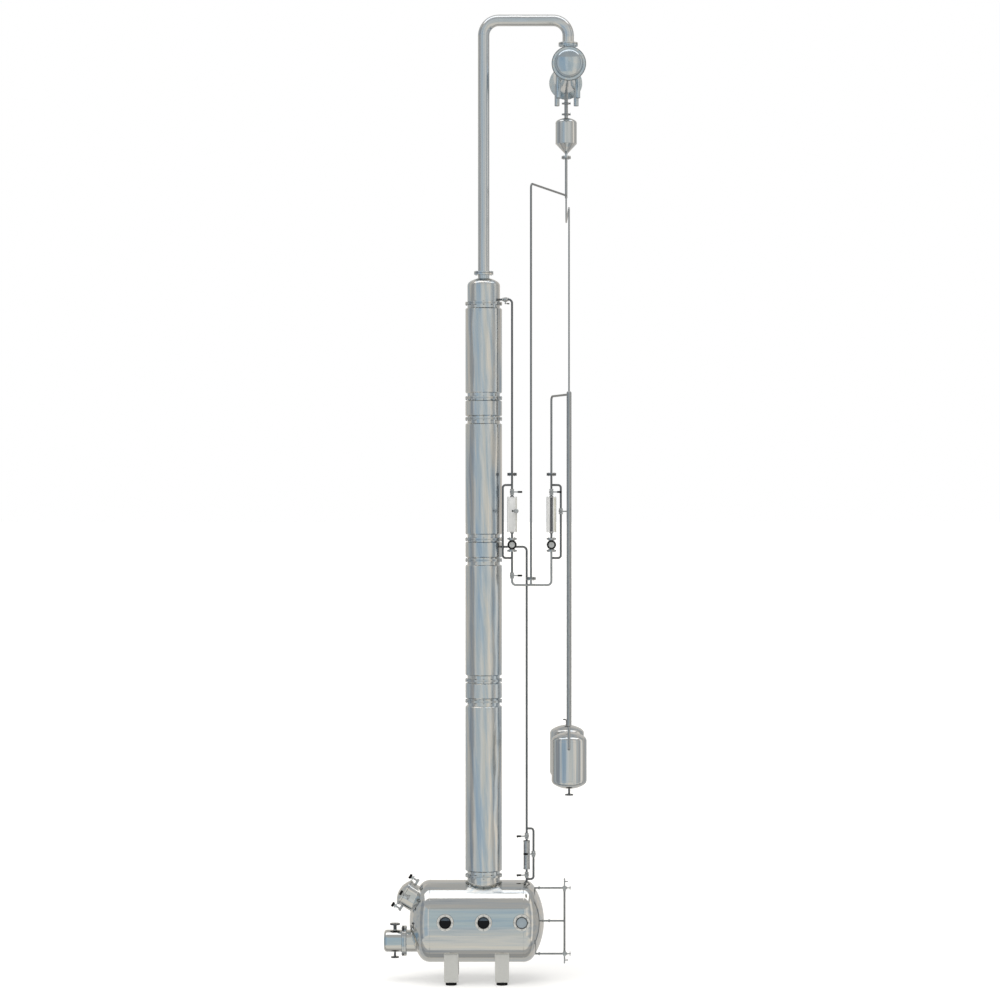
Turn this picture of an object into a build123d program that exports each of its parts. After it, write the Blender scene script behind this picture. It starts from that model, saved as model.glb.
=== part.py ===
from build123d import *
import math
import os

# Batch distillation column with its kettle, condenser and receivers, in millimetres.
# Distances in plan are measured from the column's axis, heights from the floor.

# Fits: vessels and pipes are seated this far from each other
seat = 0.3

# Dished ends: crown and knuckle radii as shares of the vessel's diameter
crown_share = 0.8
knuckle_share = 0.154

# Kettle, a horizontal drum
kettle_diameter = 812
kettle_wall = 8
kettle_straight = 930
kettle_height = 600
kettle_offset = -69

# Box legs and round feet
leg_width = 140
leg_depth = 100
leg_wall = 5
leg_spacing = 504
leg_row_spacing = 462
foot_diameter = 110
foot_height = 30

# Manway on the left head, closed by a dished cover and four swing bolts
manway_tilt = 32
manway_rise = 230
manway_neck_diameter = 256
manway_neck_wall = 6
manway_neck_length = 100
manway_neck_root = 60
manway_rim_width = 7
manway_rim_height = 14
cover_rim_height = 16
cover_dome = 46
cover_wall = 6
swing_bolt_reach = 30
swing_bolt_diameter = 18
swing_sleeve_diameter = 28
swing_sleeve_length = 14
lug_width = 38
lug_height = 24
lug_setback = 46
cover_lug_thickness = 10
cover_lug_slot = 21
knob_diameter = 50
knob_height = 24
knob_rounding = 5

# Sight glasses on the front of the kettle
sight_spacing = 377
sight_rise = 47
sight_neck_diameter = 150
sight_neck_bore = 100
sight_pane_diameter = 112
sight_flange_diameter = 165
sight_stand_off = 34
sight_flange_height = 16
sight_pane_thickness = 10

# Pads welded between the kettle and its legs

# Steam heater at the foot of the left head
heater_drop = 199
heater_diameter = 219
heater_wall = 6
heater_neck_reach = 704
heater_flange_diameter = 300
heater_flange_thickness = 21
bonnet_length = 180
bonnet_corner = 32
nozzle_setback = 108
steam_pipe_diameter = 33.7
steam_pipe_bore = 28.5
steam_flange_diameter = 100
steam_flange_thickness = 14
steam_bolt_circle = 75
steam_flange_rise = 174
drain_pipe_diameter = 21.3
drain_pipe_bore = 16.1
drain_flange_diameter = 80
drain_flange_thickness = 12
drain_bolt_circle = 55
drain_flange_drop = 169
small_bolt_hole = 11

# Column of four packed sections with short spools between them
column_diameter = 325
column_wall = 4
column_base = 1056
section_1_height = 1744
section_2_height = 1200
section_3_height = 1204
section_4_height = 944
spool_height = 208
column_flange_diameter = 368
column_flange_thickness = 12
cladding_diameter = 365
cladding_sheet = 2
cladding_corner = 9
section_cladding_end = 48
spool_cladding_end = 26

# Column head and the vapour line
head_straight = 176
vapour_diameter = 114.3
vapour_wall = 3
vapour_flange_diameter = 193
vapour_flange_thickness = 16
head_neck_height = 46
vapour_top = 9604
vapour_bend = 152

# Condenser, lying front to back
condenser_x = 845
condenser_height = 9132
condenser_diameter = 273
condenser_wall = 4
condenser_front = -260
condenser_rear = 1030
condenser_flange_diameter = 340
condenser_flange_thickness = 14
condenser_head_straight = 40
condenser_inlet_joint = 9364
condenser_leg_diameter = 51
condenser_leg_wall = 3
condenser_leg_spacing = 196
condenser_leg_front = 100
condenser_leg_rear = 670
condenser_leg_foot = 8843

# Separator under the condenser's outlet
separator_y = 850
separator_diameter = 219
separator_wall = 3
separator_top = 8745
separator_straight = 211
separator_cone_height = 102
condensate_diameter = 38
condensate_bore = 34
clamp_diameter = 74
clamp_width = 18
clamp_chamfer = 5
upper_clamp_height = 8894
lower_clamp_height = 8782
separator_joint = 8338
drop_pipe_diameter = 26.9
drop_pipe_bore = 22.3

# Small pipework
pipe_diameter = 21.3
pipe_bend = 40
bypass_bend = 28
pipe_flange_diameter = 95
pipe_flange_thickness = 14
tee_height = 7946
reflux_feed_rise = 16
cooler_feed_diameter = 17.2
cooler_feed_drop = 278

# Product cooler, a long jacketed pipe in front
cooler_x = 838
cooler_y = -620
cooler_diameter = 48.3
cooler_wall = 2.6
cooler_top = 5872
cooler_bottom = 2592
cooler_link_drop = 32
cooler_outlet_diameter = 26.9
cooler_outlet_drop = 224
cooler_outlet_bend = 34

# Receivers, one behind the other
receiver_x = 845
front_receiver_y = -380
rear_receiver_y = 500
receiver_diameter = 346
receiver_wall = 4
receiver_straight = 384
receiver_bottom = 1960
receiver_drain_length = 65
receiver_link_height = 2330
hook_shift = 6
hook_diameter = 12
hook_rise = 54
hook_reach = 35
hook_bend = 16

# Meter manifold in front of the column
manifold_y = -100
left_riser_x = 283
right_riser_x = 675
left_bypass_x = 191
right_bypass_x = 769
manifold_feed_x = 472
header_height = 3961
feed_joint_rise = 64
lower_valve_rise = 95
lower_tee_rise = 174
flow_sight_rise = 132
flow_sight_face = 68
flow_sight_flange_thickness = 17
flow_sight_diameter = 92
flow_sight_depth = 84
flow_sight_bore = 60
flow_sight_glass = 68
flow_glass_thickness = 6
meter_rise = 59
meter_height = 349
meter_width = 97
meter_depth = 64
meter_sheet = 3
meter_window = 44
meter_tube_diameter = 34
meter_union_flats = 30
meter_union_length = 14
upper_valve_rise = 50
upper_tee_rise = 69
riser_joint_rise = 107
bypass_valve_share = 0.64
sample_valve_share = 0.6
sample_valve_shift = 43

# Ball valves and their levers
valve_length = 58
valve_diameter = 44
valve_end_diameter = 32
valve_chamfer = 5
valve_union_flats = 34
valve_union_length = 13
valve_stem_diameter = 12
valve_stem_length = 34
lever_length = 106
lever_tip = 22
lever_width = 13
lever_thickness = 5
reflux_nozzle_rise = 36
reflux_valve_reach = 230

# Return line from the column to the kettle
return_x = 430
return_bypass_x = 498
return_lower_tee_height = 1018
return_lower_valve_rise = 43
return_meter_rise = 56
return_meter_height = 286
return_meter_diameter = 63
return_upper_valve_rise = 47
return_upper_tee_rise = 74
return_bypass_share = 0.5
return_nozzle_share = 0.635

# Level gauge on the right head
gauge_x = 808
gauge_arm_rise = 329
gauge_pipe_diameter = 18
gauge_glass_diameter = 20
gauge_union_flats = 28
gauge_union_width = 12
gauge_outer_union_x = 548
gauge_middle_union_x = 648
gauge_overrun = 96
gauge_valve_width = 34
gauge_wheel_reach = 52
gauge_wheel_diameter = 46
gauge_wheel_thickness = 7
gauge_hub_diameter = 16
gauge_spoke_width = 6
gauge_cock_offset = 64
gauge_cock_reach = 34


def dish_arcs(diameter):
    """Crown and knuckle radii of a dished end, its crown's centre height and where the arcs meet."""
    crown = crown_share * diameter
    knuckle = knuckle_share * diameter
    reach = diameter / 2 - knuckle
    middle = -((crown - knuckle) ** 2 - reach ** 2) ** 0.5
    return crown, knuckle, middle, math.degrees(math.atan2(-middle, reach))


def dish_depth(diameter):
    """Height of a dished end above its rim."""
    crown, knuckle, middle, turn = dish_arcs(diameter)
    return crown + middle


# Levels and places worked out from the sizes above
kettle_radius = kettle_diameter / 2
kettle_left = kettle_offset - kettle_straight / 2
kettle_right = kettle_offset + kettle_straight / 2
heater_height = kettle_height - heater_drop
heater_joint = kettle_offset - heater_neck_reach - heater_flange_thickness
bonnet_end = heater_joint - heater_flange_thickness - bonnet_length
nozzle_x = bonnet_end + nozzle_setback
section_heights = [section_1_height, section_2_height, section_3_height, section_4_height]
column_top = column_base + sum(section_heights) + 3 * spool_height
head_dome_base = column_top + head_straight
vapour_joint = head_dome_base + dish_depth(column_diameter) + head_neck_height
separator_shoulder = separator_top - dish_depth(separator_diameter)
separator_base = separator_shoulder - separator_straight
receiver_tangent = receiver_bottom + dish_depth(receiver_diameter)
receiver_shoulder = receiver_tangent + receiver_straight
receiver_top = receiver_shoulder + dish_depth(receiver_diameter)
cooler_feed_height = tee_height - cooler_feed_drop
cooler_link_height = cooler_top - cooler_link_drop
cooler_outlet_height = cooler_bottom - cooler_outlet_drop
rear_head_reach = condenser_rear + condenser_flange_thickness + condenser_head_straight
rear_end = rear_head_reach + dish_depth(condenser_diameter)
front_end = cooler_y - cooler_diameter / 2
west_end = bonnet_end
east_end = max(receiver_x + receiver_diameter / 2, condenser_x + condenser_flange_diameter / 2)

# Levels of the manifold, each above the one before
feed_joint_height = header_height + feed_joint_rise
lower_valve_height = header_height + lower_valve_rise
lower_tee_height = lower_valve_height + lower_tee_rise
flow_sight_height = lower_tee_height + flow_sight_rise
meter_bottom = flow_sight_height + flow_sight_face + meter_rise
meter_top = meter_bottom + meter_height
upper_valve_height = meter_top + upper_valve_rise
upper_tee_height = upper_valve_height + upper_tee_rise
riser_joint_height = upper_tee_height + riser_joint_rise
bypass_valve_height = lower_tee_height + bypass_valve_share * (upper_tee_height - lower_tee_height)
sample_valve_height = meter_bottom + sample_valve_share * meter_height
reflux_nozzle_height = column_top + reflux_nozzle_rise

# Levels of the return line
return_lower_valve = return_lower_tee_height + return_lower_valve_rise
return_meter_base = return_lower_valve + return_meter_rise
return_meter_top = return_meter_base + return_meter_height
return_upper_valve = return_meter_top + return_upper_valve_rise
return_upper_tee_height = return_upper_valve + return_upper_tee_rise
return_bypass_height = return_upper_tee_height - return_lower_tee_height
return_bypass_valve = return_lower_tee_height + return_bypass_share * return_bypass_height
return_nozzle_height = (column_base + section_1_height + spool_height + section_2_height
                        + return_nozzle_share * spool_height)

# The origin is on the floor under the middle of the whole plant
column_x = -(west_end + east_end) / 2
column_y = -(front_end + rear_end) / 2

up = Vector(0, 0, 1)
down = Vector(0, 0, -1)
left = Vector(-1, 0, 0)
right = Vector(1, 0, 0)
forward = Vector(0, -1, 0)
backward = Vector(0, 1, 0)


def spot(x, y, z):
    """Point given by its distance from the column's axis and its height."""
    return Vector(column_x + x, column_y + y, z)


def facing(point, direction):
    """Plane across a direction, for what is extruded along it."""
    return Plane(origin=point, z_dir=direction)


def along(point, direction):
    """Plane through an axis, with its own Y along that axis, for what is revolved."""
    side = backward if abs(direction.Z) > 0.9 else direction.cross(up).normalized()
    return Plane(origin=point, x_dir=side, z_dir=side.cross(direction))


def add_ring(point, direction, outer, inner, length):
    """Straight tube or flange; an inner diameter of 0 makes it solid."""
    with BuildSketch(facing(point, direction)) as ring:
        Circle(outer / 2)
        if inner > 0:
            Circle(inner / 2, mode=Mode.SUBTRACT)
    extrude(ring.sketch, amount=length)


def add_hexagon(point, direction, flats, length):
    """Hexagon nut or union, measured across its flats."""
    with BuildSketch(facing(point, direction)) as hexagon:
        RegularPolygon(flats / 2, 6, major_radius=False)
    extrude(hexagon.sketch, amount=length)


def cut_bore(point, direction, diameter, length):
    """Round hole from a point along a direction."""
    with BuildSketch(facing(point, direction)) as bore:
        Circle(diameter / 2)
    extrude(bore.sketch, amount=length, mode=Mode.SUBTRACT)


def cut_bolt_holes(point, direction, bolt_circle, hole, length):
    """Four bolt holes, off the flange's centre lines."""
    with BuildSketch(facing(point, direction)) as holes:
        with PolarLocations(bolt_circle / 2, 4, start_angle=45):
            Circle(hole / 2)
    extrude(holes.sketch, amount=length, mode=Mode.SUBTRACT)


def add_pipe(points, diameter, bend):
    """Pipe along straight runs joined by equal bends."""
    with BuildLine() as route:
        FilletPolyline(*points, radius=bend)
    with BuildSketch(facing(route.line @ 0, route.line % 0)) as section:
        Circle(diameter / 2)
    sweep(section.sketch, path=route.line)


def add_dish(point, direction, diameter, wall):
    """Dished end with a crown and a knuckle, standing on its rim."""
    plane = along(point, direction)
    crown, knuckle, middle, turn = dish_arcs(diameter)
    centre = diameter / 2 - knuckle
    with BuildSketch(plane) as profile:
        with BuildLine() as outline:
            CenterArc((centre, 0), knuckle, 0, turn)
            CenterArc((0, middle), crown, turn, 90 - turn)
            Line((0, middle + crown), (0, middle + crown - wall))
            CenterArc((0, middle), crown - wall, turn, 90 - turn)
            CenterArc((centre, 0), knuckle - wall, 0, turn)
            Line((diameter / 2 - wall, 0), (diameter / 2, 0))
        make_face(outline.edges())
    revolve(profile.sketch, axis=Axis(plane.origin, plane.y_dir))


def bevelled_section(inner, outer, length, corner):
    """Half section of a round body about its axis, with its two outer corners bevelled."""
    with BuildSketch() as section:
        with Locations(((inner + outer) / 2, 0)):
            Rectangle(outer - inner, length)
        chamfer(section.vertices().group_by(Axis.X)[-1], corner)
    return section.sketch


def rounded_section(outer, length, corner):
    """Half section of a closed round body about its axis, with its two outer corners rounded."""
    with BuildSketch() as section:
        with Locations((outer / 2, 0)):
            Rectangle(outer, length)
        fillet(section.vertices().group_by(Axis.X)[-1], corner)
    return section.sketch


def vessel_outline(point, direction, diameter, straight):
    """Solid outline of a closed vessel, grown by the seat, that pipes are cut to."""
    plane = along(point, direction)
    crown, knuckle, middle, turn = dish_arcs(diameter)
    centre = diameter / 2 - knuckle
    end = straight / 2
    top = end + middle + crown + seat
    with BuildPart() as outline:
        with BuildSketch(plane):
            with BuildLine():
                Line((0, -top), (0, top))
                CenterArc((0, end + middle), crown + seat, turn, 90 - turn)
                CenterArc((centre, end), knuckle + seat, 0, turn)
                Line((diameter / 2 + seat, end), (diameter / 2 + seat, -end))
                CenterArc((centre, -end), knuckle + seat, 360 - turn, turn)
                CenterArc((0, -end - middle), crown + seat, 270, 90 - turn)
            make_face()
        revolve(axis=Axis(plane.origin, plane.y_dir))
    return outline.part


def round_outline(point, direction, diameter, length):
    """Solid outline of a straight tube, grown by the seat."""
    with BuildPart() as outline:
        with BuildSketch(facing(point, direction)):
            Circle(diameter / 2 + seat)
        extrude(amount=length)
    return outline.part


kettle_outline = vessel_outline(
    spot(kettle_offset, 0, kettle_height), right, kettle_diameter, kettle_straight)
column_outline = round_outline(spot(0, 0, column_base), up, column_diameter, head_dome_base - column_base)
condenser_outline = round_outline(
    spot(condenser_x, condenser_front, condenser_height), backward, condenser_diameter,
    condenser_rear - condenser_front)
separator_outline = vessel_outline(
    spot(condenser_x, separator_y, separator_shoulder - separator_straight / 2), up, separator_diameter,
    separator_straight)


def receiver_outline(y):
    """Outline of the receiver at a distance behind the column's axis."""
    middle = (receiver_tangent + receiver_shoulder) / 2
    return vessel_outline(spot(receiver_x, y, middle), up, receiver_diameter, receiver_straight)


# Manway axis, through the left head
manway_axis = Vector(-1, 0, 0).rotate(Axis.Y, manway_tilt)
manway_run = kettle_diameter / 4 * (1 - (manway_rise / kettle_radius) ** 2) ** 0.5
manway_foot = spot(kettle_left - manway_run, 0, kettle_height + manway_rise)
manway_rim = manway_foot + manway_axis * manway_neck_length
cover_seat = manway_rim + manway_axis * seat
cover_diameter = manway_neck_diameter + 2 * manway_rim_width

# Kettle
sight_places = [spot(x, 0, kettle_height + sight_rise) for x in (-sight_spacing, 0, sight_spacing)]
sight_depth = (kettle_radius ** 2 - sight_rise ** 2) ** 0.5

with BuildPart() as kettle_shell:
    add_ring(spot(kettle_left, 0, kettle_height), right, kettle_diameter, kettle_diameter - 2 * kettle_wall,
             kettle_straight)
    cut_bore(spot(0, 0, kettle_height), up, column_diameter - 2 * column_wall, kettle_diameter)
    for place in sight_places:
        cut_bore(place, forward, sight_neck_bore, kettle_diameter)
kettle_shell.part.label = "kettle_shell"

with BuildPart() as kettle_head_left:
    add_dish(spot(kettle_left, 0, kettle_height), left, kettle_diameter, kettle_wall)
    cut_bore(manway_foot - manway_axis * manway_neck_root, manway_axis,
             manway_neck_diameter - 2 * manway_neck_wall, kettle_radius)
    cut_bore(spot(kettle_left, 0, heater_height), left, heater_diameter - 2 * heater_wall, kettle_diameter)
kettle_head_left.part.label = "kettle_head_left"

with BuildPart() as kettle_head_right:
    add_dish(spot(kettle_right, 0, kettle_height), right, kettle_diameter, kettle_wall)
kettle_head_right.part.label = "kettle_head_right"

leg_centre = spot(kettle_offset, 0, foot_height)
with BuildPart() as kettle_legs:
    with BuildSketch(Plane(leg_centre)):
        with GridLocations(leg_spacing, leg_row_spacing, 2, 2):
            Rectangle(leg_width, leg_depth)
            Rectangle(leg_width - 2 * leg_wall, leg_depth - 2 * leg_wall, mode=Mode.SUBTRACT)
    extrude(amount=kettle_height - foot_height)
    with BuildSketch(Plane(leg_centre)):
        with GridLocations(leg_spacing, leg_row_spacing, 2, 2):
            Rectangle(leg_width, leg_depth)
    extrude(amount=leg_wall)
    add(kettle_outline, mode=Mode.SUBTRACT)
kettle_legs.part.label = "kettle_legs"

with BuildPart() as kettle_feet:
    with BuildSketch(Plane(spot(kettle_offset, 0, 0))):
        with GridLocations(leg_spacing, leg_row_spacing, 2, 2):
            Circle(foot_diameter / 2)
    extrude(amount=foot_height)
kettle_feet.part.label = "kettle_feet"

# Manway
with BuildPart() as manway_neck:
    add_ring(manway_foot - manway_axis * manway_neck_root, manway_axis, manway_neck_diameter,
             manway_neck_diameter - 2 * manway_neck_wall, manway_neck_length + manway_neck_root)
    add_ring(manway_rim - manway_axis * manway_rim_height, manway_axis, cover_diameter,
             manway_neck_diameter - 2 * manway_neck_wall, manway_rim_height)
    add(kettle_outline, mode=Mode.SUBTRACT)
manway_neck.part.label = "manway_neck"

swing_circle = cover_diameter + 2 * swing_bolt_reach
lug_end = (swing_circle + lug_width) / 2
lug_start = cover_diameter / 2 - manway_rim_width
lug_reach = lug_end - lug_start


def manway_plane(distance):
    """Plane across the manway's axis, at a distance beyond the neck's rim."""
    return Plane(origin=manway_rim + manway_axis * distance, x_dir=(0, 1, 0), z_dir=manway_axis)


cover_rise = cover_rim_height + cover_dome
cover_half_width = cover_diameter / 2 - manway_rim_width
cover_radius = (cover_half_width ** 2 + cover_dome ** 2) / (2 * cover_dome)
cover_centre = cover_rise - cover_radius
cover_bore = manway_neck_diameter / 2 - manway_neck_wall
outer_turn = math.degrees(math.acos(cover_half_width / cover_radius))
inner_turn = math.degrees(math.acos(cover_bore / (cover_radius - cover_wall)))
cover_lug_base = seat + (cover_rim_height - cover_lug_thickness) / 2
dome = along(cover_seat, manway_axis)
with BuildPart() as manway_cover:
    with BuildSketch(dome):
        with BuildLine():
            outer_arc = CenterArc((0, cover_centre), cover_radius, outer_turn, 90 - outer_turn)
            inner_arc = CenterArc((0, cover_centre), cover_radius - cover_wall, inner_turn, 90 - inner_turn)
            Line(outer_arc @ 1, inner_arc @ 1)
            Polyline(inner_arc @ 0, (cover_bore, 0), (cover_diameter / 2, 0),
                     (cover_diameter / 2, cover_rim_height), outer_arc @ 0)
        make_face()
    revolve(axis=Axis(dome.origin, dome.y_dir))
    with BuildSketch(manway_plane(cover_lug_base)):
        with PolarLocations((lug_start + lug_end) / 2, 4):
            Rectangle(lug_reach, lug_width)
        Circle(lug_start, mode=Mode.SUBTRACT)
        with PolarLocations(swing_circle / 2, 4):
            Circle(cover_lug_slot / 2, mode=Mode.SUBTRACT)
        with PolarLocations(lug_end, 4):
            Rectangle(2 * (lug_end - swing_circle / 2), cover_lug_slot, mode=Mode.SUBTRACT)
    extrude(amount=cover_lug_thickness)
manway_cover.part.label = "manway_cover"

# Swing bolts, hinged on lugs of the neck and drawn down on the cover's forked lugs
sleeve_base = cover_lug_base + cover_lug_thickness + seat
knob_base = sleeve_base + swing_sleeve_length + seat
with BuildPart() as manway_swing_bolts:
    with BuildSketch(manway_plane(-lug_setback - lug_height / 2)):
        with PolarLocations(swing_circle / 2, 4):
            Circle(lug_width / 2)
        with PolarLocations((lug_start + swing_circle / 2) / 2, 4):
            Rectangle(swing_circle / 2 - lug_start, lug_width)
    extrude(amount=lug_height)
    with BuildSketch(manway_plane(-lug_setback)):
        Circle(manway_neck_diameter / 2 + seat)
    extrude(amount=lug_height, both=True, mode=Mode.SUBTRACT)
    add(kettle_outline, mode=Mode.SUBTRACT)
    with BuildSketch(manway_plane(-lug_setback)):
        with PolarLocations(swing_circle / 2, 4):
            Circle(swing_bolt_diameter / 2)
    extrude(amount=lug_setback + knob_base + knob_height / 2)
    with BuildSketch(manway_plane(sleeve_base)):
        with PolarLocations(swing_circle / 2, 4):
            Circle(swing_sleeve_diameter / 2)
    extrude(amount=swing_sleeve_length)
manway_swing_bolts.part.label = "manway_swing_bolts"

with BuildPart() as manway_knobs:
    with BuildSketch(manway_plane(knob_base)):
        with PolarLocations(swing_circle / 2, 4):
            Circle(knob_diameter / 2)
            Circle(swing_bolt_diameter / 2 + seat, mode=Mode.SUBTRACT)
    extrude(amount=knob_height)
    fillet(manway_knobs.edges().filter_by(GeomType.CIRCLE).filter_by(
        lambda edge: edge.radius > knob_diameter / 4), knob_rounding)
manway_knobs.part.label = "manway_knobs"

# Sight glasses
with BuildPart() as sight_glass_rings:
    for place in sight_places:
        add_ring(place, forward, sight_neck_diameter, sight_neck_bore, sight_depth + sight_stand_off)
        add_ring(place + forward * (sight_depth + sight_stand_off), forward, sight_flange_diameter,
                 sight_pane_diameter + 2 * seat, sight_flange_height)
    add(kettle_outline, mode=Mode.SUBTRACT)
sight_glass_rings.part.label = "sight_glass_rings"

with BuildPart() as sight_glass_panes:
    for place in sight_places:
        add_ring(place + forward * (sight_depth + sight_stand_off + seat), forward, sight_pane_diameter, 0,
                 sight_pane_thickness)
sight_glass_panes.part.label = "sight_glass_panes"

# Heater
heater_axis_point = spot(heater_joint, 0, heater_height)
with BuildPart() as heater_neck:
    add_ring(heater_axis_point, right, heater_diameter, heater_diameter - 2 * heater_wall, heater_neck_reach)
    add_ring(heater_axis_point, right, heater_flange_diameter, heater_diameter - 2 * heater_wall,
             heater_flange_thickness)
    add(kettle_outline, mode=Mode.SUBTRACT)
heater_neck.part.label = "heater_neck"

bonnet_plane = along(heater_axis_point, left)
bonnet_depth = heater_flange_thickness + bonnet_length
bonnet_body = rounded_section(heater_diameter / 2, 2 * bonnet_depth, bonnet_corner)
bonnet_hollow = rounded_section(
    heater_diameter / 2 - heater_wall, 2 * (bonnet_depth - heater_wall), bonnet_corner - heater_wall)
with BuildPart() as heater_bonnet:
    with BuildSketch(bonnet_plane):
        add(bonnet_body)
        add(bonnet_hollow, mode=Mode.SUBTRACT)
        Rectangle(heater_diameter, bonnet_depth, align=(Align.MIN, Align.MIN), mode=Mode.INTERSECT)
    revolve(axis=Axis(bonnet_plane.origin, bonnet_plane.y_dir))
    add_ring(heater_axis_point, left, heater_flange_diameter, heater_diameter, heater_flange_thickness)
    for direction, diameter, reach in ((up, steam_pipe_diameter, steam_flange_rise),
                                       (down, drain_pipe_diameter, drain_flange_drop)):
        add_ring(spot(nozzle_x, 0, heater_height) + direction * (heater_diameter / 2 - heater_wall), direction,
                 diameter, 0, reach - heater_diameter / 2 + heater_wall)
    steam_face = spot(nozzle_x, 0, heater_height + steam_flange_rise)
    add_ring(steam_face, down, steam_flange_diameter, 0, steam_flange_thickness)
    cut_bolt_holes(steam_face, down, steam_bolt_circle, small_bolt_hole, steam_flange_thickness)
    cut_bore(steam_face, down, steam_pipe_bore, steam_flange_rise - heater_diameter / 2 + 3 * heater_wall)
    drain_face = spot(nozzle_x, 0, heater_height - drain_flange_drop)
    add_ring(drain_face, up, drain_flange_diameter, 0, drain_flange_thickness)
    cut_bolt_holes(drain_face, up, drain_bolt_circle, small_bolt_hole, drain_flange_thickness)
    cut_bore(drain_face, up, drain_pipe_bore, drain_flange_drop - heater_diameter / 2 + 3 * heater_wall)
heater_bonnet.part.label = "heater_bonnet"


def add_flanged_pipe(bottom, height):
    """Length of column shell with a flange at each end."""
    bore = column_diameter - 2 * column_wall
    add_ring(spot(0, 0, bottom), up, column_diameter, bore, height)
    add_ring(spot(0, 0, bottom), up, column_flange_diameter, bore, column_flange_thickness)
    add_ring(spot(0, 0, bottom + height), down, column_flange_diameter, bore, column_flange_thickness)


def add_cladding(bottom, height, end):
    """Sheet cladding round a length of column, with bevelled ends turned in to the shell."""
    inner = column_diameter / 2 + seat
    outer = cladding_diameter / 2
    length = height - 2 * end
    plane = along(spot(0, 0, bottom + height / 2), up)
    with BuildSketch(plane) as sheet:
        add(bevelled_section(inner, outer, length, cladding_corner))
        add(bevelled_section(inner, outer - cladding_sheet, length - 2 * cladding_sheet,
                            cladding_corner - cladding_sheet), mode=Mode.SUBTRACT)
    revolve(sheet.sketch, axis=Axis(plane.origin, plane.y_dir))


# Column
with BuildPart() as column_stub:
    stub_bore = column_diameter - 2 * column_wall
    add_ring(spot(0, 0, kettle_height), up, column_diameter, stub_bore, column_base - kettle_height)
    add_ring(spot(0, 0, column_base), down, column_flange_diameter, stub_bore, column_flange_thickness)
    add(kettle_outline, mode=Mode.SUBTRACT)
column_stub.part.label = "column_stub"

section_bottoms = []
spool_bottoms = []
level = column_base
for height in section_heights:
    section_bottoms.append(level)
    level += height
    spool_bottoms.append(level)
    level += spool_height
spool_bottoms.pop()

column_sections = []
for number, (bottom, height) in enumerate(zip(section_bottoms, section_heights), start=1):
    with BuildPart() as column_section:
        add_flanged_pipe(bottom, height)
    column_section.part.label = f"column_section_{number}"
    column_sections.append(column_section.part)

return_nozzle_end = spot(column_diameter / 2 - column_wall, 0, return_nozzle_height)
column_spools = []
for number, bottom in enumerate(spool_bottoms, start=1):
    with BuildPart() as column_spool:
        add_flanged_pipe(bottom, spool_height)
        if number == 2:
            cut_bore(return_nozzle_end - right * column_wall, right, drain_pipe_bore, 4 * column_wall)
    column_spool.part.label = f"column_spool_{number}"
    column_spools.append(column_spool.part)

with BuildPart() as section_cladding:
    for bottom, height in zip(section_bottoms, section_heights):
        add_cladding(bottom, height, section_cladding_end)
section_cladding.part.label = "section_cladding"

with BuildPart() as spool_cladding:
    for bottom in spool_bottoms:
        add_cladding(bottom, spool_height, spool_cladding_end)
    cut_bore(return_nozzle_end, right, pipe_diameter + 4 * seat, cladding_diameter / 2)
spool_cladding.part.label = "spool_cladding"

# Column head, with the reflux nozzle's hole in its side
riser_offset = Vector(left_riser_x, manifold_y, 0)
reflux_direction = riser_offset.normalized()
reflux_side = reflux_direction.cross(up)
vapour_bore = vapour_diameter - 2 * vapour_wall
with BuildPart() as column_head:
    add_ring(spot(0, 0, column_top), up, column_diameter, column_diameter - 2 * column_wall, head_straight)
    add_ring(spot(0, 0, column_top), up, column_flange_diameter, column_diameter - 2 * column_wall,
             column_flange_thickness)
    add_dish(spot(0, 0, head_dome_base), up, column_diameter, column_wall)
    add_ring(spot(0, 0, vapour_joint), down, vapour_diameter, 0, head_neck_height + 2 * column_wall)
    add_ring(spot(0, 0, vapour_joint), down, vapour_flange_diameter, 0, vapour_flange_thickness)
    cut_bore(spot(0, 0, vapour_joint), down, vapour_bore, head_straight)
    cut_bore(spot(0, 0, reflux_nozzle_height), reflux_direction, drain_pipe_bore, column_diameter)
column_head.part.label = "column_head"

# Vapour line
riser_top = vapour_top - vapour_bend
with BuildPart() as vapour_riser:
    add_ring(spot(0, 0, vapour_joint), up, vapour_diameter, vapour_bore, riser_top - vapour_joint)
    add_ring(spot(0, 0, vapour_joint), up, vapour_flange_diameter, vapour_bore, vapour_flange_thickness)
vapour_riser.part.label = "vapour_riser"

with BuildPart() as vapour_crossover:
    with BuildLine() as route:
        over_start = spot(0, 0, riser_top)
        over_bend = over_start + (vapour_bend, 0, vapour_bend)
        far_bend = spot(condenser_x - vapour_bend, 0, vapour_top)
        far_end = spot(condenser_x, 0, riser_top)
        TangentArc(over_start, over_bend, tangent=(0, 0, 1))
        Line(over_bend, far_bend)
        TangentArc(far_bend, far_end, tangent=(1, 0, 0))
        Line(far_end, spot(condenser_x, 0, condenser_inlet_joint))
    with BuildSketch(facing(over_start, up)):
        Circle(vapour_diameter / 2)
        Circle(vapour_bore / 2, mode=Mode.SUBTRACT)
    sweep()
    add_ring(spot(condenser_x, 0, condenser_inlet_joint), up, vapour_flange_diameter, vapour_bore,
             vapour_flange_thickness)
vapour_crossover.part.label = "vapour_crossover"

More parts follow.
